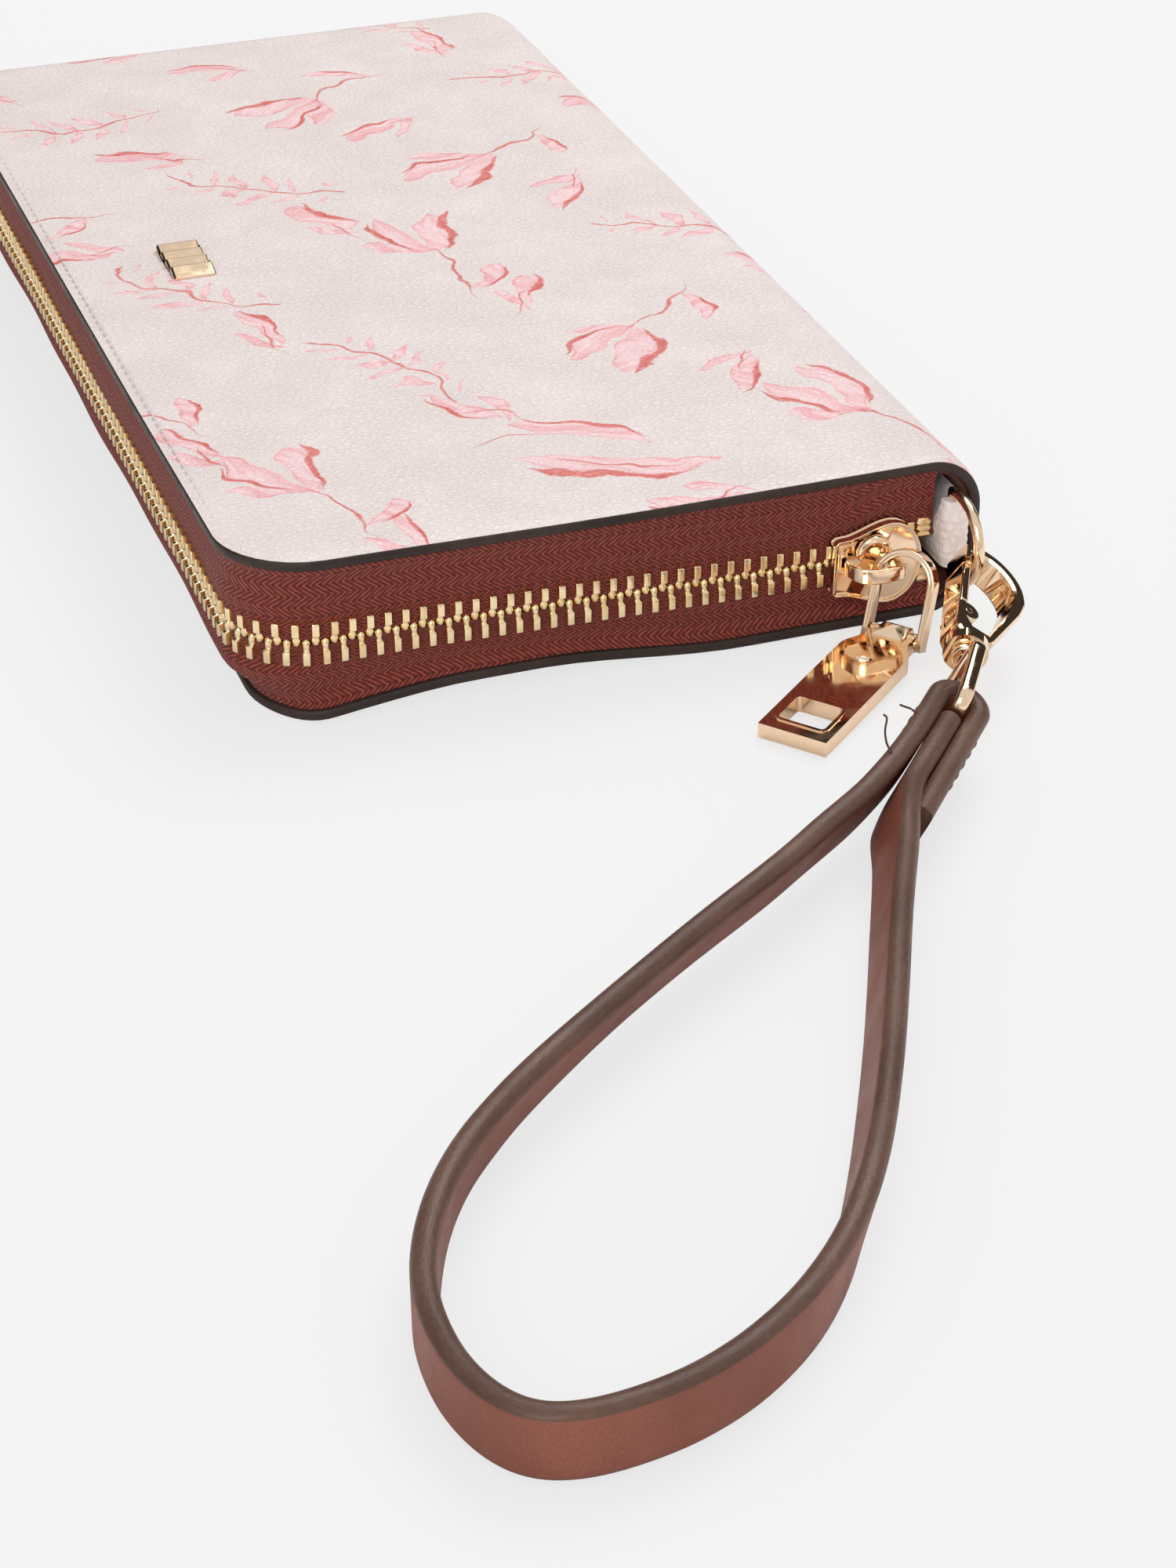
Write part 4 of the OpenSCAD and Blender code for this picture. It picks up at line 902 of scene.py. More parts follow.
# %% Both tapes
def make_tape(name, upper, body, node):
    """A strip from the chain to a cover, slack in its middle and thicker at its cord."""
    chance = random.Random(7 if upper else 8)
    swing = [chance.uniform(0, 6.28) for _ in range(3)]
    count = 230
    rings, runs = [], []
    levels, flare, cord_t = 18, 0.75, 0.35
    for i in range(count + 1):
        s = chain_run * i / count
        spot, out, lift, drop = on_chain(s)
        low = row_height(lift, drop, tape_rise, upper)
        high = wallet_t - paint_t - 0.1 if upper else paint_t + 0.1
        outer, inner = [], []
        slack = 0.32 + 0.2 * math.sin(s * 0.071 + swing[0]) + 0.12 * math.sin(s * 0.19 + swing[1])
        slack *= smooth_step(min(s, chain_run - s) / 18 - 0.3) if s < 60 else 1
        round_side = (smooth_step((s - front_run) / corner_run)
                      * smooth_step((chain_run - s - front_run) / corner_run))
        slack *= max(round_side, smooth_step((s - chain_run / 2) / 40))
        slack += 0.3 * round_side
        sag = 0 if upper else 2.6 * round_side
        foot = spot + out * flare + Vector((0, 0, high))
        pull = settle(foot) - foot
        for k in range(levels + 1):
            t = k / levels
            z = low + (high - low) * t ** 1.3
            belly = slack * math.sin(math.pi * t) ** 1.3
            belly += flare * smooth_step((abs(z - mid_z) - 8.3) / 1.6)
            belly += sag * math.sin(math.pi * max(0, t - 0.34) / 0.66) ** 1.5
            half = tape_t / 2 + cord_t * math.exp(-((t - 0.06) / 0.07) ** 2)
            here = spot + Vector((0, 0, z)) + pull * smooth_step(t)
            outer.append(here + out * (half + belly))
            inner.append(here + out * (belly - half))
        rings.append(outer + inner[::-1])
        runs.append((s, abs(high - low)))
    points, faces = join_rings(rings)
    tape = make_object(name, points, faces, [tape_cloth], sharp=50)

    def flat_place(row, column):
        level = column if column <= levels else 2 * levels + 1 - column
        run, tall = runs[row]
        return run / uv_scale + 1, level / levels * tall / uv_scale + 1

    unroll(tape, len(rings[0]), flat_place)
    return place(tape, body, "zip_tape", node)

make_tape("upper_tape_cloth", True, "front_half", "upper_zip_tape")
lower_tape = make_tape("lower_tape_cloth", False, "back_half", "lower_zip_tape")
print("tape faces:", len(lower_tape.data.polygons))

# %% [markdown]
# ## Zipper teeth
# A metal tooth is stamped from flat wire: two legs clamp the tape, and a rounded head with a
# small nib fits between the heads of the other row.  One tooth is lofted from twelve
# rounded sections and then repeated along the chain, so all teeth of a row are one mesh.

# %% One tooth
tooth_pitch = 2.4
stop_run, stop_gap, chain_end = 2.2, 1.2, 0.3

def rounded_box(wide, deep, radius):
    """Eight points of a rectangle with cut corners."""
    w, d = wide / 2, deep / 2
    return [(w - radius, -d), (w, radius - d), (w, d - radius), (w - radius, d),
            (radius - w, d), (-w, d - radius), (-w, radius - d), (radius - w, -d)]

tooth_sections = [(-0.75, 0.34, 1.0, 0.1), (-0.46, 0.58, 1.3, 0.2), (-0.34, 0.8, 1.6, 0.28),
                  (-0.06, 1.0, 1.9, 0.36), (0.28, 1.1, 2.0, 0.4), (0.62, 1.04, 1.96, 0.36),
                  (0.86, 0.86, 1.8, 0.24), (1.06, 0.84, 1.9, 0.2), (1.16, 1.0, 2.6, 0.2),
                  (1.26, 1.06, 2.72, 0.16), (2.9, 1.06, 2.72, 0.16), (3.1, 0.86, 2.3, 0.2)]
tooth_rings = [[(x, y, z) for x, y in rounded_box(w, d, r)] for z, w, d, r in tooth_sections]
tooth = join_rings(tooth_rings)
print("faces in one tooth:", len(tooth[1]))

# %% Two rows of teeth
def on_row(part, s, upper):
    """A tooth or stop, drawn as (along, out, up), carried to its place on the chain."""
    spot, out, lift, drop = on_chain(s)
    along = Vector((-out.y, out.x, 0))
    points = []
    for x, y, z in part[0]:
        p = spot + along * x + out * y
        p.z = row_height(lift, drop, z, upper)
        points.append(p)
    return points, part[1]

def make_teeth(name, upper, body, node, first):
    """One row of teeth between its two stops, starting a little way in."""
    points, faces = [], []
    end_room = chain_end + stop_run + stop_gap
    count = int((chain_run - 2 * end_room - first) // tooth_pitch)
    for i in range(count + 1):
        add_part(points, faces, on_row(tooth, end_room + first + i * tooth_pitch, upper))
    teeth = keep_flats(make_object(name, points, faces, [brass], sharp=50))
    return place(teeth, body, "zip_brass", node)

upper_teeth = make_teeth("upper_teeth_brass", True, "front_half", "upper_zip_teeth", 0)
make_teeth("lower_teeth_brass", False, "back_half", "lower_zip_teeth", tooth_pitch / 2)
print("faces in one row of teeth:", len(upper_teeth.data.polygons))

# %% Stops with ribs
stop_rings = []
for k in range(13):
    z = tape_rise + 2.7 * k / 12
    rib = 1 + 0.12 * math.sin(k * math.pi / 2)
    end = 0.72 if k in (0, 12) else 1
    outline = rounded_box(stop_run * end * rib * 0.9, 1.55 * end * rib, 0.3)
    stop_rings.append([(x, y, z) for x, y in outline])

def make_stops(name, upper, body, node):
    """A ribbed stop at both ends of one row."""
    points, faces = [], []
    for s in (chain_end + stop_run / 2, chain_run - chain_end - stop_run / 2):
        add_part(points, faces, on_row(join_rings(stop_rings), s, upper))
    return place(make_object(name, points, faces, [brass]), body, "zip_brass", node)

make_stops("upper_stops_brass", True, "front_half", "upper_zip_stops")
make_stops("lower_stops_brass", False, "back_half", "lower_zip_stops")
print("four stops, each", stop_run, "mm long")

# %% [markdown]
# ## Hardware: outlines, cuts and frames
# Castings start as an outline pushed to its thickness.  Windows and bores are cut with
# booleans, and a bevel rounds what is left.  Each piece is drawn in its own plain axes and
# carried into place by a matrix, just as in the frame.

# %% Hardware helpers
def shift(x, y, z):
    """A matrix that moves by a distance along each axis."""
    return Matrix.Translation((x, y, z))

def turn(axis, degrees):
    """A matrix that turns about an axis."""
    return Matrix.Rotation(math.radians(degrees), 4, axis)

def slab(name, outline, low, high, frame_matrix, axes="XY", material=gold):
    """An outline pushed from low to high along the axis that it doesn't use."""
    def lay(u, v, w):
        return {"XY": (u, v, w), "XZ": (u, w, v), "YZ": (w, u, v)}[axes]
    rings = [[frame_matrix @ Vector(lay(u, v, w)) for u, v in outline] for w in (low, high)]
    points, faces = join_rings(rings)
    return make_object(name, points, faces, [material])

def rod(name, radius, low, high, frame_matrix, sides=32, axis="Z"):
    """A round bar from low to high along an axis."""
    axes = {"Z": "XY", "Y": "XZ", "X": "YZ"}[axis]
    return slab(name, circle(radius, sides), low, high, frame_matrix, axes)

print("hardware is cast in", gold.name)

# %% Cuts, welds and polish
def boolean(piece, other, operation):
    """Cuts or welds another mesh and then removes it."""
    change = piece.modifiers.new(operation, "BOOLEAN")
    change.operation = operation
    change.solver = "EXACT"
    change.object = other
    apply_modifiers(piece)
    bpy.data.objects.remove(other)
    piece.data.set_sharp_from_angle(angle=math.radians(30))
    return piece

def cut(piece, other):
    return boolean(piece, other, "DIFFERENCE")

def weld(piece, other):
    return boolean(piece, other, "UNION")

def polish(piece, width, segments=3, angle=28):
    """Rounds the edges of a casting and keeps its flats flat."""
    return keep_flats(soften(piece, width, segments, angle))

print("cuts, welds and polish ready")

# %% Sweeps and castings of several parts
def carry(frame_matrix, spot, side, up):
    """A station of a sweep, carried from a piece's own axes into place."""
    turned = frame_matrix.to_3x3()
    return frame_matrix @ Vector(spot), turned @ Vector(side), turned @ Vector(up)

def sweep(path, section, closed=False):
    """Rings of a flat section along (place, side, up) stations."""
    return join_rings([[spot + side * a + up * b for a, b in section]
                       for spot, side, up in path], closed_path=closed)

def gather(name, pieces):
    """Joins separate meshes of one casting into one piece."""
    work = bmesh.new()
    for piece in pieces:
        work.from_mesh(piece.data)
    mesh = bpy.data.meshes.new(name)
    work.to_mesh(mesh)
    work.free()
    for material in pieces[0].data.materials:
        mesh.materials.append(material)
    for piece in pieces:
        bpy.data.objects.remove(piece)
    mesh.shade_smooth()
    mesh.set_sharp_from_angle(angle=math.radians(38))
    return keep_flats(add_to_scene(name, mesh))

print("hardware helpers ready")

# %% [markdown]
# ## Slider
# The slider is a die casting: a heart-shaped face plate with a raised rim, a plate behind
# the chain, lips that hold the rows, and a post that parts them.  The rim is made by
# insetting the face and pushing the middle in.

# %% Slider outline
slider_z = mid_z - drop_at(slider_x)
slider_frame = shift(slider_x, 0, slider_z) @ turn("Y", 1.6)
slider_l, tail_h = 13.0, 4.2
shoulder_h = tail_h + row_spread
outer_face, inner_face, plate_out = end_y, end_y - 3.0, end_y + 1.2
row_h = 3.3

def mirrored(half):
    """Both halves of an outline of which half lies above the middle."""
    return half + [(x, -z) for x, z in reversed(half) if abs(z) > 1e-6]

plate_half = [(-slider_l / 2, 0), (-slider_l / 2, tail_h - 0.5), (0.5 - slider_l / 2, tail_h)]
plate_half += [(-slider_l / 2 + 1 + k / 6 * 7.2, tail_h + (shoulder_h - tail_h) * smooth_step(k / 6))
               for k in range(1, 7)]
plate_half += [(slider_l / 2 - 4.8 + 4.8 * math.cos(math.radians(a)),
                shoulder_h * math.sin(math.radians(a))) for a in range(78, -1, -6)]
lane_half = [(-slider_l, -1), (-slider_l, row_h)]
lane_half += [(x - slider_x, row_h + spread_at(x)) for x in
              [spread_start + (spread_end - spread_start) * k / 8 for k in range(9)]]
lane_half += [(slider_l, row_h + row_spread), (slider_l, -1)]

outline = mirrored(plate_half)
print("slider stands", round(slider_z, 2), "mm high")

# %% Slider plates
face_plate = slab("slider_face", outline, -plate_out, -outer_face, slider_frame, "XZ")
work = bmesh.new()
work.from_mesh(face_plate.data)
front = min((f for f in work.faces if len(f.verts) > 4), key=lambda f: f.calc_center_median().y)
bmesh.ops.inset_region(work, faces=[front], thickness=0.00055)
bmesh.ops.translate(work, verts=front.verts, vec=Vector((0, 0.0003, 0)))
work.to_mesh(face_plate.data)
work.free()
polish(face_plate, 0.16, 2)
back_plate = slab("slider_back", outline, -inner_face, 1 - inner_face, slider_frame, "XZ")
polish(back_plate, 0.2, 2)
print("face plate faces:", len(face_plate.data.polygons))

# %% Lips and post
lips = []
for low, high in ((-outer_face - 0.01, -(end_y - 1.05)), (-(end_y - 1.95), -inner_face + 0.01)):
    lip = slab("slider_lip", outline, low, high, slider_frame, "XZ")
    lane = slab("lane", lane_half + [(x, -z) for x, z in reversed(lane_half)], low - 1, high + 1,
                slider_frame, "XZ")
    lips.append(cut(lip, lane))
post = slab("slider_post", [(slider_l / 2 - 4.1, -0.85), (slider_l / 2 - 1.5, -0.6),
                            (slider_l / 2 - 1.5, 0.6), (slider_l / 2 - 4.1, 0.85)],
            -outer_face - 0.01, -inner_face + 0.01, slider_frame, "XZ")
print("lips beside the rows:", len(lips))

# %% Raised lug and the whole slider
lug_path = []
for k in range(13):
    a = math.radians(200 - k * 17.5)
    spot = Vector((-1.1 + 1.9 * math.cos(a), -plate_out - 0.15 - 0.3 * math.sin(a),
                   2.3 + 2.0 * math.sin(a)))
    side = Vector((math.cos(a), 0, math.sin(a)))
    lug_path.append(carry(slider_frame, spot, side, (0, -1, 0)))
points, faces = sweep(lug_path, [(-0.65, -0.3), (-0.65, 0.35), (-0.35, 0.75), (0.35, 0.75),
                                 (0.65, 0.35), (0.65, -0.3)])
lug = polish(make_object("slider_lug", points, faces, [gold]), 0.15, 2)

slider = gather("slider_casting", [face_plate, back_plate, *lips, post, lug])
place(slider, "zip_slider", "gold", "zip_slider_body")
print("slider faces:", len(slider.data.polygons))

# %% Bridge
bridge_x0, bridge_l, bridge_h, bridge_gap = -4.7, 7.4, 2.2, 3.0
path = [(0, 0.2), (0.12, 1.2), (0.5, 2.3), (1.1, 3.1), (1.9, 3.42), (3.0, 3.5), (4.4, 3.5),
        (5.8, 3.5), (6.5, 3.42), (6.8, 3.1), (6.9, 2.4), (6.9, 0.0)]
stations = []
for i, (x, out) in enumerate(path):
    ax, ao = path[max(0, i - 1)]
    bx, bo = path[min(len(path) - 1, i + 1)]
    direction = Vector((bx - ax, -(bo - ao), 0)).normalized()
    bow = 0.22 * math.sin(math.pi * max(0, min(1, (x - 0.5) / 6.2)))
    spot = Vector((bridge_x0 + x, -plate_out - out, 0.4 - bow))
    side = direction.cross(Vector((0, 0, 1)))
    stations.append((slider_frame @ spot, slider_frame.to_3x3() @ side, Vector((0, 0, 1))))
half = bridge_h / 2
band = [(-0.45, -half + 0.35), (-0.2, -half), (0.3, -half), (0.5, 0.3 - half),
        (0.5, half - 0.3), (0.3, half), (-0.2, half), (-0.45, half - 0.35)]
points, faces = sweep(stations, band)
bridge = polish(make_object("slider_bridge_band", points, faces, [gold]), 0.1, 2, 40)
place(bridge, "zip_slider", "gold", "zip_slider_bridge")
print("bridge spans (mm):", bridge_l)

# %% [markdown]
# ## Bail and puller
# The bail is a bent bar of flat wire with a fine groove along its face.  It hangs in the
# bridge and its two pins carry the puller: a polished plate with a framed window, a dimple
# and a four-sided knob on its neck.

# %% Bail
pull_yaw, bail_lean, puller_tilt = -51, 20, -2
bail_r, bail_t, bail_depth, bail_leg = 4.1, 1.0, 2.0, 7.8
bail_frame = (shift(slider_x + 1.9, -plate_out - bridge_gap / 2 +
                    bail_r * math.sin(math.radians(pull_yaw)), slider_z - 0.66)
              @ turn("Z", pull_yaw) @ turn("X", -bail_lean))
legs = [(-bail_r, -bail_leg - 0.9 + k * (bail_leg + 0.9) / 5, Vector((-1, 0, 0))) for k in range(5)]
arch = [(-bail_r * math.cos(math.radians(a)), bail_r * math.sin(math.radians(a)),
         Vector((-math.cos(math.radians(a)), 0, math.sin(math.radians(a)))))
        for a in range(0, 181, 9)]
mirror_legs = [(-x, z, Vector((1, 0, 0))) for x, z, _ in reversed(legs)]
stations = [carry(bail_frame, (x, 0, z), side, (0, 1, 0))
            for x, z, side in legs + arch + mirror_legs]
t, d = bail_t / 2, bail_depth / 2
groove = [(-t + 0.12, -d), (-0.12, -d), (0, 0.1 - d), (0.12, -d), (t - 0.12, -d), (t, 0.15 - d)]
section = groove + [(t, d - 0.15), (t - 0.12, d), (0.12, d), (0, d - 0.1), (-0.12, d),
                    (0.12 - t, d), (-t, d - 0.15), (-t, 0.15 - d)]
points, faces = sweep(stations, section)
bail = make_object("bail_wire", points, faces, [gold], sharp=50)
pins = [rod("bail_pin", 0.65, side * (bail_r - t), side * (bail_r - t - 1.95),
            bail_frame @ shift(0, 0, -bail_leg), 24, "X") for side in (-1, 1)]
for pin in pins:
    polish(pin, 0.15, 2)
bail = gather("bail_loop", [bail, *pins])
place(bail, "bail", "gold", "zip_bail")
print("bail is", bail_r * 2, "mm wide and", round(bail_r + bail_leg, 1), "mm high")

# %% Puller
puller_frame = bail_frame @ shift(0, 0, -bail_leg) @ turn("X", bail_lean - puller_tilt)
puller_w, puller_l, puller_t, window_l, rim = 10.0, 29.4, 2.2, 5.8, 1.6
neck = (2 * bail_r - bail_t - 0.6) / 2
wide, top = puller_w / 2, puller_t / 2
outline = [(-neck, 0.2), (-neck, -2.4), (-neck - 0.5, -3.6), (-wide + 0.35, -5.0), (-wide, -6.0),
           (-wide, -puller_l), (wide, -puller_l), (wide, -6.0), (wide - 0.35, -5.0),
           (neck + 0.5, -3.6), (neck, -2.4), (neck, 0.2)]
plate = slab("puller", outline, -top, top, puller_frame)
window_y = -puller_l + rim + 0.8

def window_outline(grow):
    """The window with round corners, larger all round by grow."""
    w, low, high, r = wide - rim + grow, window_y - grow, window_y + window_l + grow, 0.6 + grow
    corners = [(w - r, low + r, -90), (w - r, high - r, 0), (r - w, high - r, 90),
               (r - w, low + r, 180)]
    return [(cx + r * math.cos(math.radians(a + s)), cy + r * math.sin(math.radians(a + s)))
            for cx, cy, a in corners for s in (0, 30, 60, 90)]

frame_rim = slab("rim", window_outline(0.5), 0, top + 0.18, puller_frame)
weld(plate, frame_rim)
knob = [[(-2.3, -2.4, 0.4), (2.3, -2.4, 0.4), (2.3, 1.5, 0.4), (-2.3, 1.5, 0.4)],
        [(-2.2, -2.3, 1.35), (2.2, -2.3, 1.35), (2.2, 1.4, 1.35), (-2.2, 1.4, 1.35)],
        [(-0.1, -0.5, 2.35), (0.1, -0.5, 2.35), (0.1, -0.4, 2.35), (-0.1, -0.4, 2.35)]]
points, faces = join_rings([[puller_frame @ Vector(p) for p in ring] for ring in knob])
weld(plate, make_object("knob", points, faces, [gold]))
weld(plate, rod("barrel", 1.3, -neck, neck, puller_frame, 32, "X"))
cut(plate, slab("window", window_outline(0), -3, 3, puller_frame))
cut(plate, rod("bore", 0.77, -neck - 1, neck + 1, puller_frame, 24, "X"))
bpy.ops.mesh.primitive_uv_sphere_add(segments=24, ring_count=12, radius=0.001)
dimple = bpy.context.object
dimple.data.transform(Matrix.Scale(0.001, 4) @ puller_frame @ shift(0, -8.6, top + 0.35)
                      @ Matrix.Diagonal((1.5, 0.9, 0.8, 1)) @ Matrix.Scale(1000, 4))
cut(plate, dimple)
polish(plate, 0.28, 3, 30)
plate.name = "puller_plate"
place(plate, "puller", "gold", "zip_puller")
print("puller faces:", len(plate.data.polygons))

# %% [markdown]
# ## Ring tab
# A strip of the pale leather is folded round the straight bar of the ring and sewn in
# beside the spine.  The fold is a soft roll with pressed edges, so it is lofted from
# rounded sections that pinch a little at the two cut ends.

# %% Tab
ring_wire, ring_r, ring_leg = 1.5, 5.9, 2.9
ring_x, ring_y, ring_z = 48.0, -end_y, mid_z + 1
tab_r, tab_h = 2.0, 10.0

def tab_section(grow):
    """Outline of the folded strip in plan: a round nose and two layers that run inward."""
    nose = [(tab_r * grow * math.copysign(abs(math.cos(a)) ** 0.55, math.cos(a)),
             tab_r * grow * math.copysign(abs(math.sin(a)) ** 0.8, math.sin(a)))
            for a in [math.radians(180 + 9 * k) for k in range(21)]]
    return nose + [(tab_r * grow, 3.0), (tab_r * grow, 6.0), (tab_r * grow, 9.0), (0.25, 9.0),
                   (0, 8.6), (-0.25, 9.0), (-tab_r * grow, 9.0), (-tab_r * grow, 6.0),
                   (-tab_r * grow, 3.0)]

rings = []
for k in range(29):
    t = k / 28
    z = ring_z - tab_h / 2 + tab_h * t
    press = 1.04 - 0.2 * (1 - smooth_step(min(t, 1 - t) * 5)) + 0.03 * math.sin(k * 1.9)
    rings.append([(ring_x + x, ring_y + y, z) for x, y in tab_section(press)])
points, faces = join_rings(rings)
tab = make_object("tab_roll", points, faces, [plain_leather], sharp=50)
cut(tab, slab("sweep room", [(spine_x - 9.5, mid_z - 1), (spine_x - 1.4, mid_z + 7.0),
                             (spine_x - 9.5, mid_z + 9)], -end_y + 0.2, -80,
              Matrix.Identity(4), "XZ", plain_leather))
polish(tab, 0.25, 3, 45)
place(tab, "back_half", "plain_leather", "ring_tab")
print("tab faces:", len(tab.data.polygons))

# %% D-ring
def on_ring(out, z):
    """A point in the ring's plane, from its bar outward and up."""
    return Vector((ring_x, ring_y - out, ring_z + z))

leg_steps = [ring_leg * k / 4 for k in range(1, 4)]
bow_turns = [math.radians(90 - k * 180 / 32) for k in range(33)]
stations = [on_ring(0, ring_r * (k / 4 - 1)) for k in range(9)]
stations += [on_ring(out, ring_r) for out in leg_steps]
stations += [on_ring(ring_leg + ring_r * math.cos(a), ring_r * math.sin(a)) for a in bow_turns]
stations += [on_ring(out, -ring_r) for out in reversed(leg_steps)]
path = []
side = Vector((1, 0, 0))
for i, spot in enumerate(stations):
    ahead = (stations[(i + 1) % len(stations)] - stations[i - 1]).normalized()
    path.append((spot, side, side.cross(ahead).normalized()))
points, faces = sweep(path, circle(0.5 * ring_wire, 24), closed=True)
d_ring = make_object("d_ring_wire", points, faces, [gold], sharp=60)
place(d_ring, "d_ring", "gold", "d_ring")
print("ring is", 2 * ring_r - ring_wire, "mm clear inside")

# %% [markdown]
# ## Clasp
# The lever clasp is a flat casting with broad chamfers, so it shows a bright face beside a
# dark one wherever it turns.  Its gate swings inward on a small pin, and the strap's eye
# turns in its collar.

# %% Frames of the chain, the clasp and the eye
hang = math.radians(28)
contact = (ring_x, ring_y - ring_leg - ring_r * math.cos(hang), ring_z - ring_r * math.sin(hang))
chain_frame = shift(*contact) @ turn("Z", -28) @ turn("X", 4.5)
clasp_roll, eye_roll, clasp_l, clasp_t = 33, 24, 20.0, 4.5
clasp_frame = chain_frame @ turn("Y", clasp_roll)
hook_x, hook_y, hook_r, clasp_wall = 0.3, -3.7, 6.6, 1.7
gate_x0, gate_w, gate_top = -3.4, 1.3, -2.9
pivot_x, pivot_y = gate_x0 + 1.5, -clasp_l + 6.4
hole_bottom, collar_h, collar_r, swivel_x = -clasp_l + 3.6, 1.4, 3.0, -0.5
pivot_frame = clasp_frame @ shift(pivot_x, pivot_y, 0)
swivel_frame = clasp_frame @ shift(swivel_x, 0, 0)

def hook_arc(radius, left):
    """The hook's round top, from its right side to where it is clipped on the left."""
    points = []
    for k in range(41):
        a = math.radians(-4 + k * 4.6)
        x = hook_x + radius * math.cos(a)
        points.append((max(x, left), hook_y + radius * math.sin(a)))
        if x <= left:
            points[-1] = (left, hook_y + math.sqrt(max(0, radius ** 2 - (left - hook_x) ** 2)))
            break
    return points

print("clasp hangs from", [round(v, 1) for v in contact])

# %% Clasp body
outer = hook_arc(hook_r, gate_x0) + [
    (gate_x0, hook_y), (gate_x0, -clasp_l + 2.4), (gate_x0 + 0.6, -clasp_l + collar_h),
    (swivel_x + 2.2, -clasp_l + collar_h), (swivel_x + 3, -clasp_l + 2.6),
    (hook_x + hook_r - 0.7, hook_y - 4), (hook_x + hook_r - 0.1, hook_y - 1.6)]
inner_r, inner_x = hook_r - clasp_wall, gate_x0 + gate_w
hole = hook_arc(inner_r, inner_x) + [
    (inner_x, hook_y), (inner_x, hole_bottom + 1.6), (-1.0, hole_bottom), (1.6, hole_bottom),
    (hook_x + inner_r - 0.5, hook_y - 3.4)]
half_t = clasp_t / 2
clasp = slab("clasp", outer, -half_t, half_t, clasp_frame)
cut(clasp, slab("hole", hole, -5, 5, clasp_frame))
polish(clasp, 0.5, 1, 50)
mouth = [(gate_x0 - 1, pivot_y + 1.6), (inner_x + 0.2, pivot_y + 1.6),
         (inner_x + 0.2, gate_top + 0.15), (gate_x0 - 1, gate_top + 0.15)]
cut(clasp, slab("mouth", mouth, -5, 5, clasp_frame))
weld(clasp, rod("lugs", 1.5, -half_t, half_t, pivot_frame, 48))
weld(clasp, rod("collar", collar_r, -clasp_l, -clasp_l + collar_h + 0.3,
                swivel_frame, 48, "Y"))
fork = [(gate_x0 - 1, pivot_y - 1.75), (gate_x0 + 3.2, pivot_y - 1.75),
        (gate_x0 + 3.2, pivot_y + 1.85), (gate_x0 - 1, pivot_y + 1.85)]
cut(clasp, slab("fork", fork, -1.35, 1.35, clasp_frame))
cut(clasp, rod("post bore", 1.1, hole_bottom - 6, hole_bottom + 0.4,
               swivel_frame, 32, "Y"))
cut(clasp, rod("head seat", 1.6, hole_bottom, hole_bottom + 1.2,
               swivel_frame, 32, "Y"))
seat_r = ring_wire / 2 + 0.2
points, faces = join_rings([[on_ring(ring_leg + (ring_r + seat_r * math.cos(b)) * math.cos(a),
                                     (ring_r + seat_r * math.cos(b)) * math.sin(a))
                             + Vector((seat_r * math.sin(b), 0, 0))
                             for b in [2 * math.pi * k / 20 for k in range(20)]]
                            for a in [2 * math.pi * k / 64 for k in range(64)]], closed_path=True)
cut(clasp, make_object("ring seat", points, faces, [gold]))
polish(clasp, 0.1, 2, 35)
clasp.name = "clasp_casting"
place(clasp, "clasp", "gold", "clasp_body")
print("clasp faces:", len(clasp.data.polygons))

# %% Gate, its pin and spring
gate = slab("gate", [(gate_x0, pivot_y + 1.75), (gate_x0 + gate_w, pivot_y + 1.75),
                     (gate_x0 + gate_w, gate_top), (gate_x0, gate_top)],
            -half_t, half_t, clasp_frame)
polish(gate, 0.35, 2, 40)
knuckle = rod("knuckle", 1.5, -1.2, 1.2, pivot_frame)
weld(knuckle, slab("neck", [(gate_x0, pivot_y), (gate_x0 + gate_w, pivot_y),
                            (gate_x0 + gate_w, pivot_y + 2.2), (gate_x0, pivot_y + 2.2)],
                   -1.2, 1.2, clasp_frame))
cut(knuckle, rod("bore", 0.65, -2, 2, pivot_frame, 24))
cut(knuckle, rod("spring seat", 1.15, -0.6, 0.6, pivot_frame, 24))
gate = gather("gate_lever", [gate, polish(knuckle, 0.08, 1, 40)])
place(gate, "gate", "gold", "clasp_gate")
pin = polish(rod("gate_pin_head", 0.6, -half_t - 0.02, half_t + 0.02,
                 pivot_frame, 24), 0.12, 2)
place(pin, "clasp", "gold", "gate_pin")
coil_r, coil_h, turns = 0.84, 0.9, 3
coil = []
for k in range(24 * turns):
    a = math.radians(k * 15)
    out = Vector((math.cos(a), math.sin(a), 0))
    rise = Vector((0, 0, coil_h * k / (24 * turns - 1) - coil_h / 2))
    coil.append(carry(pivot_frame, coil_r * out + rise, out, (0, 0, 1)))
points, faces = sweep(coil, circle(0.15, 8))
place(make_object("gate_spring_coil", points, faces, [steel]), "clasp", "steel", "gate_spring")
print("spring coils:", turns)

# %% Swivel eye
eye_wire, eye_l, eye_pivot, eye_rear, eye_corner = 2.0, 12.0, -clasp_l - 0.5, -4.0, 1.7
strap_w, strap_t, layer_gap, sewn_l = 9.0, 2.8, 0.1, 22.0
eye_half = strap_w / 2 + 0.3 + eye_wire / 2
eye_front = eye_rear - eye_l
roll = math.radians(clasp_roll)
eye_post = Vector((swivel_x * math.cos(roll), eye_pivot, -swivel_x * math.sin(roll)))
eye_turns = turn("Z", -7) @ turn("X", 3)
eye_frame = chain_frame @ Matrix.Translation(eye_post) @ eye_turns @ turn("Y", eye_roll)

def eye_station(y, z, out_y, out_z):
    """A station of the eye's wire in its own plane."""
    return carry(eye_frame, (0, y, z), (1, 0, 0), (0, out_y, out_z))

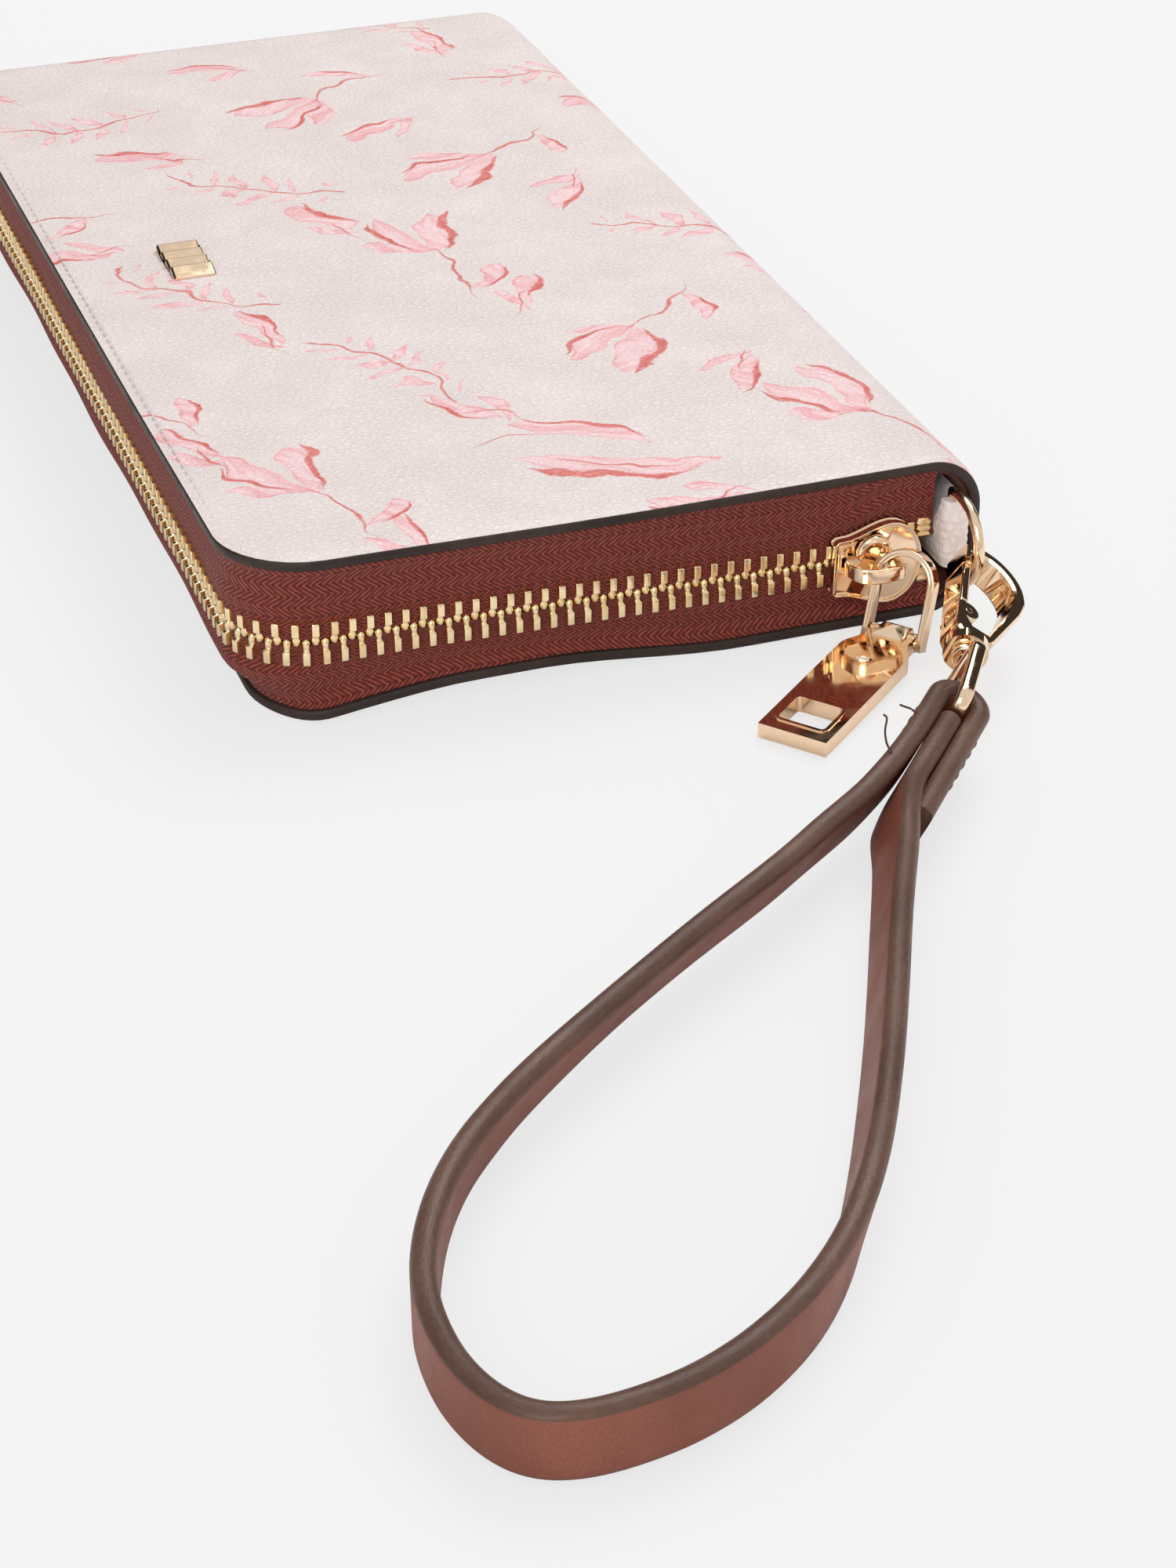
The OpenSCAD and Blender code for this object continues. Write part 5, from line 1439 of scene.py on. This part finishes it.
stations = []
for cy, cz, a0 in ((eye_rear - eye_corner, eye_half - eye_corner, 0),
                   (eye_front + eye_corner, eye_half - eye_corner, 90),
                   (eye_front + eye_corner, eye_corner - eye_half, 180),
                   (eye_rear - eye_corner, eye_corner - eye_half, 270)):
    for k in range(9):
        a = math.radians(a0 + k * 11.25)
        stations.append(eye_station(cy + eye_corner * math.cos(a), cz + eye_corner * math.sin(a),
                                    math.cos(a), math.sin(a)))
w = eye_wire / 2
flat_wire = [(w * math.copysign(abs(math.cos(a)) ** 0.6, math.cos(a)),
              w * math.copysign(abs(math.sin(a)) ** 0.6, math.sin(a)))
             for a in [2 * math.pi * k / 24 for k in range(24)]]
points, faces = sweep(stations, flat_wire, closed=True)
eye_ring = make_object("eye_ring", points, faces, [gold], sharp=60)
post = rod("eye_post", 1.0, eye_pivot + eye_rear, hole_bottom + 0.5, swivel_frame, 32, "Y")
head = rod("eye_head", 1.4, hole_bottom + 0.1, hole_bottom + 0.9, swivel_frame, 32, "Y")
washer = rod("eye_washer", 1.8, -clasp_l - 1.35, -clasp_l - 0.15, swivel_frame, 32, "Y")
eye = gather("swivel_eye_ring", [eye_ring, post, polish(head, 0.2, 3), polish(washer, 0.25, 3)])
place(eye, "swivel_eye", "gold", "swivel_eye")
print("eye holds a strap", strap_w, "mm wide")

# %% [markdown]
# ## Wrist strap
# One long strip of leather runs from its sewn end round the eye, out along the loop and
# back between the two sewn layers.  The route is a smooth curve through chosen places, each
# with the angle that the strap leans over by.  Its section has flat faces and full, painted
# edges, which take their own finish.

# %% Route of the strap
bar_play, sewn_angle, strap_reach, sewn_lean = 1.5, 48, 140, eye_roll
layer_step = strap_t + layer_gap
lean_rad = math.radians(sewn_lean)

def sewn(x, y, lift=strap_w / 2):
    """A place in the sewn part, which leans with the eye."""
    return (x, y * math.cos(lean_rad) - lift * math.sin(lean_rad),
            y * math.sin(lean_rad) + lift * math.cos(lean_rad), sewn_lean)

def free(x, y, lean):
    """A place in the loop, where the strap stands on its edge."""
    return (x, y, strap_w / 2, lean)

loop_out = [[24.5, 2.9, 26], [33, 4.95, 26], [42.5, 7.1, 27], [58, 11.4, 28], [73, 15.2, 27],
            [87, 18.6, 21], [96, 20.2, 16], [104, 20.9, 11], [112, 20.4, 5]]
loop_end = [[120, 18.5], [127, 15.2], [133, 10.3], [136.8, 5.1], [138.3, 0.1],
            [137.2, -4.4], [133.5, -9.1], [127.5, -13.9], [120, -17.5]]
loop_back = [[111, -19.9, 3], [101, -20.7, 9], [89, -19.6, 16], [75, -16.6, 18],
             [61, -12.9, 18], [46, -8.7, 19], [32, -5.2, 24], [24.5, -3.2, 29]]

route = [sewn(sewn_l + 2, -layer_step), sewn(sewn_l * 0.5, -layer_step), sewn(2, -layer_step)]
route += [sewn(-layer_step * math.cos(math.radians(a)), layer_step * math.sin(math.radians(a)))
          for a in range(-90, 91, 15)]
route += [sewn(2, layer_step), sewn(7, layer_step), (13.0, 1.1, 5.2, 24), (18.5, 1.75, 4.9, 25)]
route += [free(*p) for p in loop_out] + [free(x, y, 0) for x, y in loop_end]
route += [free(*p) for p in loop_back]
route += [sewn(sewn_l - 4, 0), sewn(sewn_l * 0.5, 0), sewn(3.4, 0)]

def spline(points, steps):
    """A smooth curve through all points, with steps places between two of them."""
    out = []
    for i in range(len(points) - 1):
        p0, p1, p2, p3 = (points[max(0, min(len(points) - 1, i + k))] for k in (-1, 0, 1, 2))
        for s in range(steps):
            t = s / steps
            out.append(tuple(0.5 * (2 * b + (c - a) * t + (2 * a - 5 * b + 4 * c - d) * t * t
                                    + (3 * b - a - 3 * c + d) * t ** 3)
                             for a, b, c, d in zip(p0, p1, p2, p3)))
    return out + [tuple(points[-1])]

smooth_route = spline(route, 6)
eye_bar = chain_frame @ (eye_post + eye_turns.to_3x3() @ Vector((0, eye_front, 0)))
strap_tilt = math.degrees(math.asin((eye_bar.z - strap_w / 2) / strap_reach))
strap_frame = (Matrix.Translation(eye_bar) @ turn("Z", 180 + sewn_angle) @ turn("Y", strap_tilt)
               @ shift(-bar_play, 0, 0) @ Matrix.Diagonal((1, -1, 1, 1)))
print("places on the strap's route:", len(smooth_route))

# %% Section of the strap
def strap_section():
    """(across, down) points of the section, and how many an edge and a face have."""
    t, edge = strap_t / 2, 1.05
    upper = [(-t * math.cos(math.radians(a)), edge * (1 - math.sin(math.radians(a))))
             for a in range(15, 166, 15)]
    side = [(t, edge + (strap_w - 2 * edge) * k / 5) for k in range(6)]
    lower = [(x, strap_w - y) for x, y in reversed(upper)]
    back = [(-t, strap_w - y) for _, y in side]
    return upper + side + lower + back, len(upper), len(side)

section, upper_count, side_count = strap_section()
print("points round the strap:", len(section))

# %% Strap
chance = random.Random(11)
rings, lengths, run = [], [], 0.0
for i, station in enumerate(smooth_route):
    here = Vector(station[:3])
    ahead = Vector(smooth_route[min(len(smooth_route) - 1, i + 1)][:3])
    behind = Vector(smooth_route[max(0, i - 1)][:3])
    along = (ahead - behind).normalized()
    lean = math.radians(station[3])
    up = Vector((0, -math.sin(lean), math.cos(lean)))
    up = (up - along * up.dot(along)).normalized()
    across = up.cross(along).normalized()
    run += (here - behind).length if i else 0.0
    lengths.append(run)
    fray = 0.3 if i == 0 else 0
    rings.append([strap_frame @ (here + across * a - up * d + along * chance.uniform(-fray, fray))
                  for a, d in section])
points, faces = join_rings(rings)
size = len(section)
edge_sides = set(range(upper_count - 1)) | set(
    range(upper_count + side_count, 2 * upper_count + side_count - 1))
kinds = [int(k % size in edge_sides) for k in range(len(faces) - 2)] + [1, 1]
strap = make_object("wrist_strap_leather", points, faces, [strap_face, strap_edge], kinds, 50)
unroll(strap, size, lambda row, column: (lengths[row] / uv_scale + 1, column * 0.9 / uv_scale + 1))
place(strap, "strap", "strap_leather", "wrist_strap")
print("strap length (mm):", round(lengths[-1]))

# %% [markdown]
# ## Sewing on the covers
# A row of fine stitches holds the skin to the board, a little in from the painted edge.
# Each stitch is a short raised capsule of thread that dips into the leather at both ends,
# repeated along the outline.

# %% One stitch
def capsule(start, end, up, radius, sink=0.0):
    """Rings of one stitch from start to end, raised in its middle."""
    along = end - start
    side = along.normalized().cross(up).normalized()
    rings = []
    for t, swell, lift in ((0, 0.3, -sink), (0.15, 0.85, -0.2 * sink), (0.5, 1, 0),
                           (0.85, 0.85, -0.2 * sink), (1, 0.3, -sink)):
        spot = start + along * t + up * lift
        rings.append([spot + side * (radius * swell * math.cos(a))
                      + up * (radius * swell * math.sin(a))
                      for a in [math.pi * k / 3 for k in range(6)]])
    return join_rings(rings)

print("points in a stitch:", len(capsule(Vector((0, 0, 0)), Vector((1, 0, 0)),
                                       Vector((0, 0, 1)), 0.1)[0]))

# %% Rows of stitches
def make_stitches(name, runs, material, radius, length, gap, sink):
    """Stitches along several runs of (place, up) points."""
    points, faces = [], []
    for run in runs:
        steps = [0.0]
        for (a, _), (b, _) in zip(run, run[1:]):
            steps.append(steps[-1] + (b - a).length)

        def at(s):
            i = max(k for k in range(len(steps) - 1) if steps[k] <= s + 1e-9)
            t = (s - steps[i]) / max(1e-9, steps[i + 1] - steps[i])
            return run[i][0].lerp(run[i + 1][0], min(1, t)), run[i][1]

        s = gap
        while s + length < steps[-1]:
            (start, up), (end, _) = at(s), at(s + length)
            add_part(points, faces, capsule(start, end, up, radius, sink))
            s += length + gap
    return make_object(name, points, faces, [material], sharp=180)

def cover_line(inset, z, up):
    """The outline of a cover at an inset, from the spine round to the spine."""
    r = corner_r - inset
    line = [(Vector((spine_turn - 1 + (straight_end - spine_turn + 1) * k / 24, inset - end_y, z)),
             up) for k in range(25)]
    for k in range(1, 13):
        a = math.radians(k * 7.5)
        line.append((Vector((straight_end - r * math.sin(a),
                             corner_r - end_y - r * math.cos(a), z)), up))
    line += [(Vector((p.x, -p.y, p.z)), u) for p, u in reversed(line)]
    return line

up = Vector((0, 0, 1))
for body, node_z, way in (("front_half", wallet_t - 0.16, up), ("back_half", 0.16, -up)):
    runs = [[(settle(p), u) for p, u in cover_line(1.45, node_z, way)]]
    seam = make_stitches(body + "_seam", runs, thread, 0.13, 1.7, 0.6, 0.12)
    place(seam, body, "thread")
print("stitches made for both covers")

# %% [markdown]
# ## Badge
# A small plain plate marks the front.  It is cast as four low ridges, like a washboard, so
# that a polished part only as big as a fingernail still catches the light.

# %% Badge
low, high = node_box("badge_plate")
ridge = (high.y - low.y) / 4
profile = [(low.y, low.z + 0.02)]
for k in range(4):
    y = low.y + k * ridge
    profile += [(y + 0.05, high.z - 0.78), (y + ridge - 0.4, high.z),
                (y + ridge - 0.1, high.z - 0.12)]
profile += [(high.y, low.z + 0.02)]
rings = []
for x, shrink in ((low.x, 0.3), (low.x + 0.3, 0), (high.x - 0.3, 0), (high.x, 0.3)):
    rings.append([(x, y, max(low.z + 0.02, z - shrink)) for y, z in profile])
points, faces = join_rings(rings)
badge = polish(make_object("badge_casting", points, faces, [gold]), 0.07, 2, 15)
place(badge, "front_half", "gold", "badge_plate")
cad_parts["badge_prongs"].material_slots[0].material = gold
print("badge faces:", len(badge.data.polygons))

# %% Stitches of the strap
sewn_frame = strap_frame @ turn("X", sewn_lean)
runs = []
for side in (-1, 1):
    for z in (-1, 1):
        y = side * (layer_step + strap_t / 2 + 0.02)
        line = [sewn_frame @ Vector((x, y, z * (strap_w / 2 - 1.5))) for x in (3.4, sewn_l - 4)]
        way = (sewn_frame.to_3x3() @ Vector((0, side, 0))).normalized()
        runs.append([(p, way) for p in line])
strap_seam = make_stitches("strap_seam", runs, strap_thread, 0.15, 1.9, 0.7, 0.16)
place(strap_seam, "strap", "thread", "strap_stitches")
print("rows of stitches on the strap:", len(runs))

# %% Loose thread tails
def thread_tail(root, bends, radius):
    """A short stiff end of thread that curls away from the seam."""
    line = spline([tuple(p) for p in bends], 5)
    stations = []
    for i, spot in enumerate(line):
        ahead = Vector(line[min(len(line) - 1, i + 1)]) - Vector(line[max(0, i - 1)])
        side = ahead.cross(Vector((0.3, 1, 0.2))).normalized()
        stations.append(carry(root, spot, side, ahead.cross(side).normalized()))
    return sweep(stations, circle(radius, 8))

outer_y = layer_step + strap_t / 2
tails = [[(7.2, outer_y - 0.3, 4.0), (7.4, outer_y + 0.6, 4.3), (7.7, outer_y + 1.4, 4.3),
          (8.3, outer_y + 2.0, 4.6)],
         [(17.0, outer_y - 0.2, 3.9), (16.6, outer_y + 0.9, 4.4), (15.6, outer_y + 1.9, 5.2),
          (14.6, outer_y + 2.5, 6.2), (14.7, outer_y + 3.1, 6.5)]]
points, faces = [], []
for bends in tails:
    add_part(points, faces, thread_tail(sewn_frame, bends, 0.14))
place(make_object("thread_tails", points, faces, [strap_thread], sharp=180), "strap", "thread")
print("thread tails:", len(tails))

# %% [markdown]
# ## Inside
# Nothing inside shows while the wallet is zipped, but it opens on its hinge, so the fan
# gussets, card leaves, coin pocket and small zipper all get their own cloth or leather.
# A gusset crosses the hinge, so it is one folded sheet.

# %% Gussets
gusset_y, gusset_fold, gusset_l, gusset_t = end_y - 5.5, 6.0, 52.0, 0.6
gusset_x1 = spine_turn - 1.5
gusset_rows, gusset_levels = 18, 16
gusset_cloth = make_cloth("gusset_cloth", (134, 62, 54), (78, 32, 28), 0.5, 1.0, 0.0, 0.06)

def make_gusset(name, side, node):
    """A sheet from cover to cover, folded inward at half its height."""
    rings = []
    for i in range(gusset_rows + 1):
        x = gusset_x1 - gusset_l * i / gusset_rows
        outer, inner = [], []
        for k in range(gusset_levels + 1):
            t = k / gusset_levels
            z = cover_t + 0.05 + (wallet_t - 2 * cover_t - 0.1) * t
            fold = 1 - abs(2 * t - 1)
            ripple = 0.25 * math.sin(i * 1.7) * math.sin(math.pi * t)
            y = gusset_y - gusset_fold * smooth_step(fold * 0.9) * 0.93 - ripple
            outer.append((x, side * y, z))
            inner.append((x, side * (y - gusset_t * 0.8), z))
        rings.append(outer + inner[::-1])
    points, faces = join_rings(rings)
    gusset = make_object(name, points, faces, [gusset_cloth], sharp=60)

    def flat_place(row, column):
        level = min(column, 2 * gusset_levels + 1 - column)
        return row * gusset_l / gusset_rows / uv_scale, level * 1.6 / uv_scale

    unroll(gusset, len(rings[0]), flat_place)
    bend(gusset, "zip_tape", node, start=(0, 0, cover_t / 1000),
         end=(0, 0, (wallet_t - cover_t) / 1000))

make_gusset("near_gusset_fold", -1, "near_gusset")
make_gusset("far_gusset_fold", 1, "far_gusset")
print("gussets reach in by", gusset_fold, "mm")

# %% Card leaves
leaf_t, leaf_step, leaf_count = 0.6, 10.0, 4

def make_leaves(node, body, upward):
    """Stepped leaves with rolled mouths, each sewn along its mouth."""
    low, high = node_box(node)
    base = low.z if upward > 0 else high.z
    points, faces, runs = [], [], []
    for i in range(leaf_count):
        x0 = low.x + i * leaf_step
        section = [(x0 + 0.25, 0.08), (x0, 0.2), (x0 - 0.02, 0.42), (x0 + 0.3, leaf_t + 0.03),
                   (x0 + 1.0, leaf_t), (high.x, leaf_t), (high.x, 0.12)]
        rings = []
        for k in range(13):
            y = low.y + (high.y - low.y) * k / 12
            sag = 0.35 * math.sin(math.pi * k / 12) ** 0.5
            rings.append([(x + (sag if n < 5 else 0), y,
                           base + upward * (i * leaf_t + z)) for n, (x, z) in enumerate(section)])
        add_part(points, faces, join_rings(rings))
        z = base + upward * ((i + 1) * leaf_t + 0.02)
        way = Vector((0, 0, upward))
        runs.append([(Vector((x0 + 1.6, y, z)), way) for y in (low.y + 1, high.y - 1)])
    leaves = make_object(node + "_leaves", points, faces, [pocket_leather], sharp=50)
    place(leaves, body, "plain_leather", node)
    place(make_stitches(node + "_seam", runs, thread, 0.11, 1.9, 0.7, 0.05), body, "thread")

for half, upward in (("back", 1), ("front", -1)):
    for end in ("near", "far"):
        make_leaves(f"{half}_card_pockets_{end}", half + "_half", upward)
print("card leaves in a column:", leaf_count)

# %% Rounded copies of small solids
def rounded_copy(node, name, body, slot, material, width):
    """The frame's own shape with its edges rounded, standing in for the sharp solid."""
    work = bmesh.new()
    work.from_mesh(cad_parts[node].data)
    bmesh.ops.remove_doubles(work, verts=work.verts, dist=1e-6)
    bmesh.ops.dissolve_limit(work, angle_limit=math.radians(2), verts=work.verts,
                             edges=work.edges)
    mesh = bpy.data.meshes.new(name)
    work.to_mesh(mesh)
    work.free()
    mesh.materials.append(material)
    mesh.polygons.foreach_set("material_index", [0] * len(mesh.polygons))
    mesh.shade_smooth()
    piece = polish(add_to_scene(name, mesh), width, 2, 40)
    return place(piece, body, slot, node)

wall_leather = make_plain_leather("wall_leather", (214, 196, 190), (198, 178, 172), size=0.9)
panel_cloth = make_cloth("panel_cloth", (132, 92, 82), (92, 60, 53), 0.5, 1.0, 0.0, 0.05, False)
coin_tape = make_cloth("coin_tape", (140, 68, 58), (70, 26, 22), 0.6, 1.6, 0.8, 0.1, False)
inside_pieces = [
    ("back_note_panel", "back_note_sheet", "back_half", "lining", panel_cloth, 0.2),
    ("front_note_panel", "front_note_sheet", "front_half", "lining", panel_cloth, 0.2),
    ("coin_wall_back", "coin_wall_back_leather", "divider", "zip_tape", wall_leather, 0.25),
    ("coin_wall_front", "coin_wall_front_leather", "divider", "zip_tape", wall_leather, 0.25),
    ("coin_pocket_binding", "coin_binding_leather", "divider", "zip_tape", wall_leather, 0.2),
    ("coin_zip_tapes", "coin_tapes_cloth", "divider", "zip_tape", coin_tape, 0.1),
    ("coin_zip_teeth", "coin_teeth_brass", "divider", "zip_brass", brass, 0.12),
    ("coin_zip_slider", "coin_slider_casting", "coin_slider", "gold", gold, 0.18),
    ("coin_zip_puller", "coin_puller_tag", "coin_puller", "gold", gold, 0.15)]
for piece_facts in inside_pieces:
    rounded_copy(*piece_facts)
print("inside pieces:", len(inside_pieces))

# %% [markdown]
# ## Floor and light
# A plain pale floor, a large soft key light from behind on the right, a gentler fill from
# the front left, and a bright surround.  Metal needs something darker to mirror as well as
# the white, so the surround that it reflects is dark on its far side, below the light that
# falls from overhead.

# %% Floor
floor_mesh = bpy.data.meshes.new("floor")
half_floor = 3.0
corners = [(half_floor * x, half_floor * y, 0) for x, y in ((-1, -1), (1, -1), (1, 1), (-1, 1))]
floor_mesh.from_pydata(corners, [], [(0, 1, 2, 3)])
floor = add_to_scene("floor", floor_mesh)
floor.location.z = -0.0003
floor_paint = bpy.data.materials.new("floor_paint")
floor_paint.use_nodes = True
tree = floor_paint.node_tree
tree.nodes.clear()
paper = add_node(tree, "BsdfDiffuse", Color=colour(230, 229, 229))
glow = add_node(tree, "Emission", Color=colour(244, 244, 244), Strength=1.0)
rays = add_node(tree, "LightPath")
seen = add_node(tree, "MixShader", {1: paper.outputs[0], 2: glow.outputs[0]})
shown = Flow(rays.outputs["Is Camera Ray"]) * 0.8
tree.links.new(shown.socket, seen.inputs[0])
add_node(tree, "OutputMaterial", {"Surface": seen.outputs[0]})
floor_mesh.materials.append(floor_paint)
print("floor (m):", 2 * half_floor)

# %% Surround
world = bpy.data.worlds.new("surround")
world.use_nodes = True
tree = world.node_tree
tree.nodes.clear()
rays = add_node(tree, "LightPath")
direction = add_node(tree, "TexCoord").outputs["Generated"]
_, back_side, up = separate(tree, direction)
overhead = up.ramp(0.7, 0.84)
wall = back_side.ramp(-0.15, 0.3) * (1 - overhead)
lit = mix(tree, up.ramp(-0.1, 0.3), colour(235, 230, 226), colour(255, 255, 255))
glossy_tone = mix(tree, wall, lit, colour(70, 64, 58))
plain_tone = colour(248, 247, 247)
tone = mix(tree, Flow(rays.outputs["Is Glossy Ray"]), plain_tone, glossy_tone)
fill = add_node(tree, "Background", {"Color": tone}, Strength=0.75)
back = add_node(tree, "Background", Color=colour(246, 246, 246), Strength=1.0)
both = add_node(tree, "MixShader", {0: rays.outputs["Is Camera Ray"], 1: fill.outputs[0],
                                    2: back.outputs[0]})
add_node(tree, "OutputWorld", {"Surface": both.outputs[0]})
bpy.context.scene.world = world
print("surround ready")

# %% Lamps
def add_lamp(name, place_at, aim, width, height, power):
    """A rectangular soft light at a place, aimed at a point."""
    lamp = bpy.data.lights.new(name, "AREA")
    lamp.shape = "RECTANGLE"
    lamp.size, lamp.size_y = width, height
    lamp.energy = power
    thing = add_to_scene(name, lamp)
    thing.location = place_at
    thing.rotation_euler = (Vector(aim) - Vector(place_at)).to_track_quat("-Z", "Y").to_euler()

add_lamp("key", (0.4, 0.3, 0.85), (0, 0, 0), 0.6, 0.6, 5.2)
add_lamp("front_fill", (-0.5, -0.85, 0.55), (0.02, -0.12, 0), 0.5, 0.5, 3.0)
bpy.context.scene.view_settings.view_transform = "Standard"
print("lamps:", len(bpy.data.lights))

# %% [markdown]
# The dressed model has to stay inside the frame's box, give or take the little that soft
# goods stand proud.
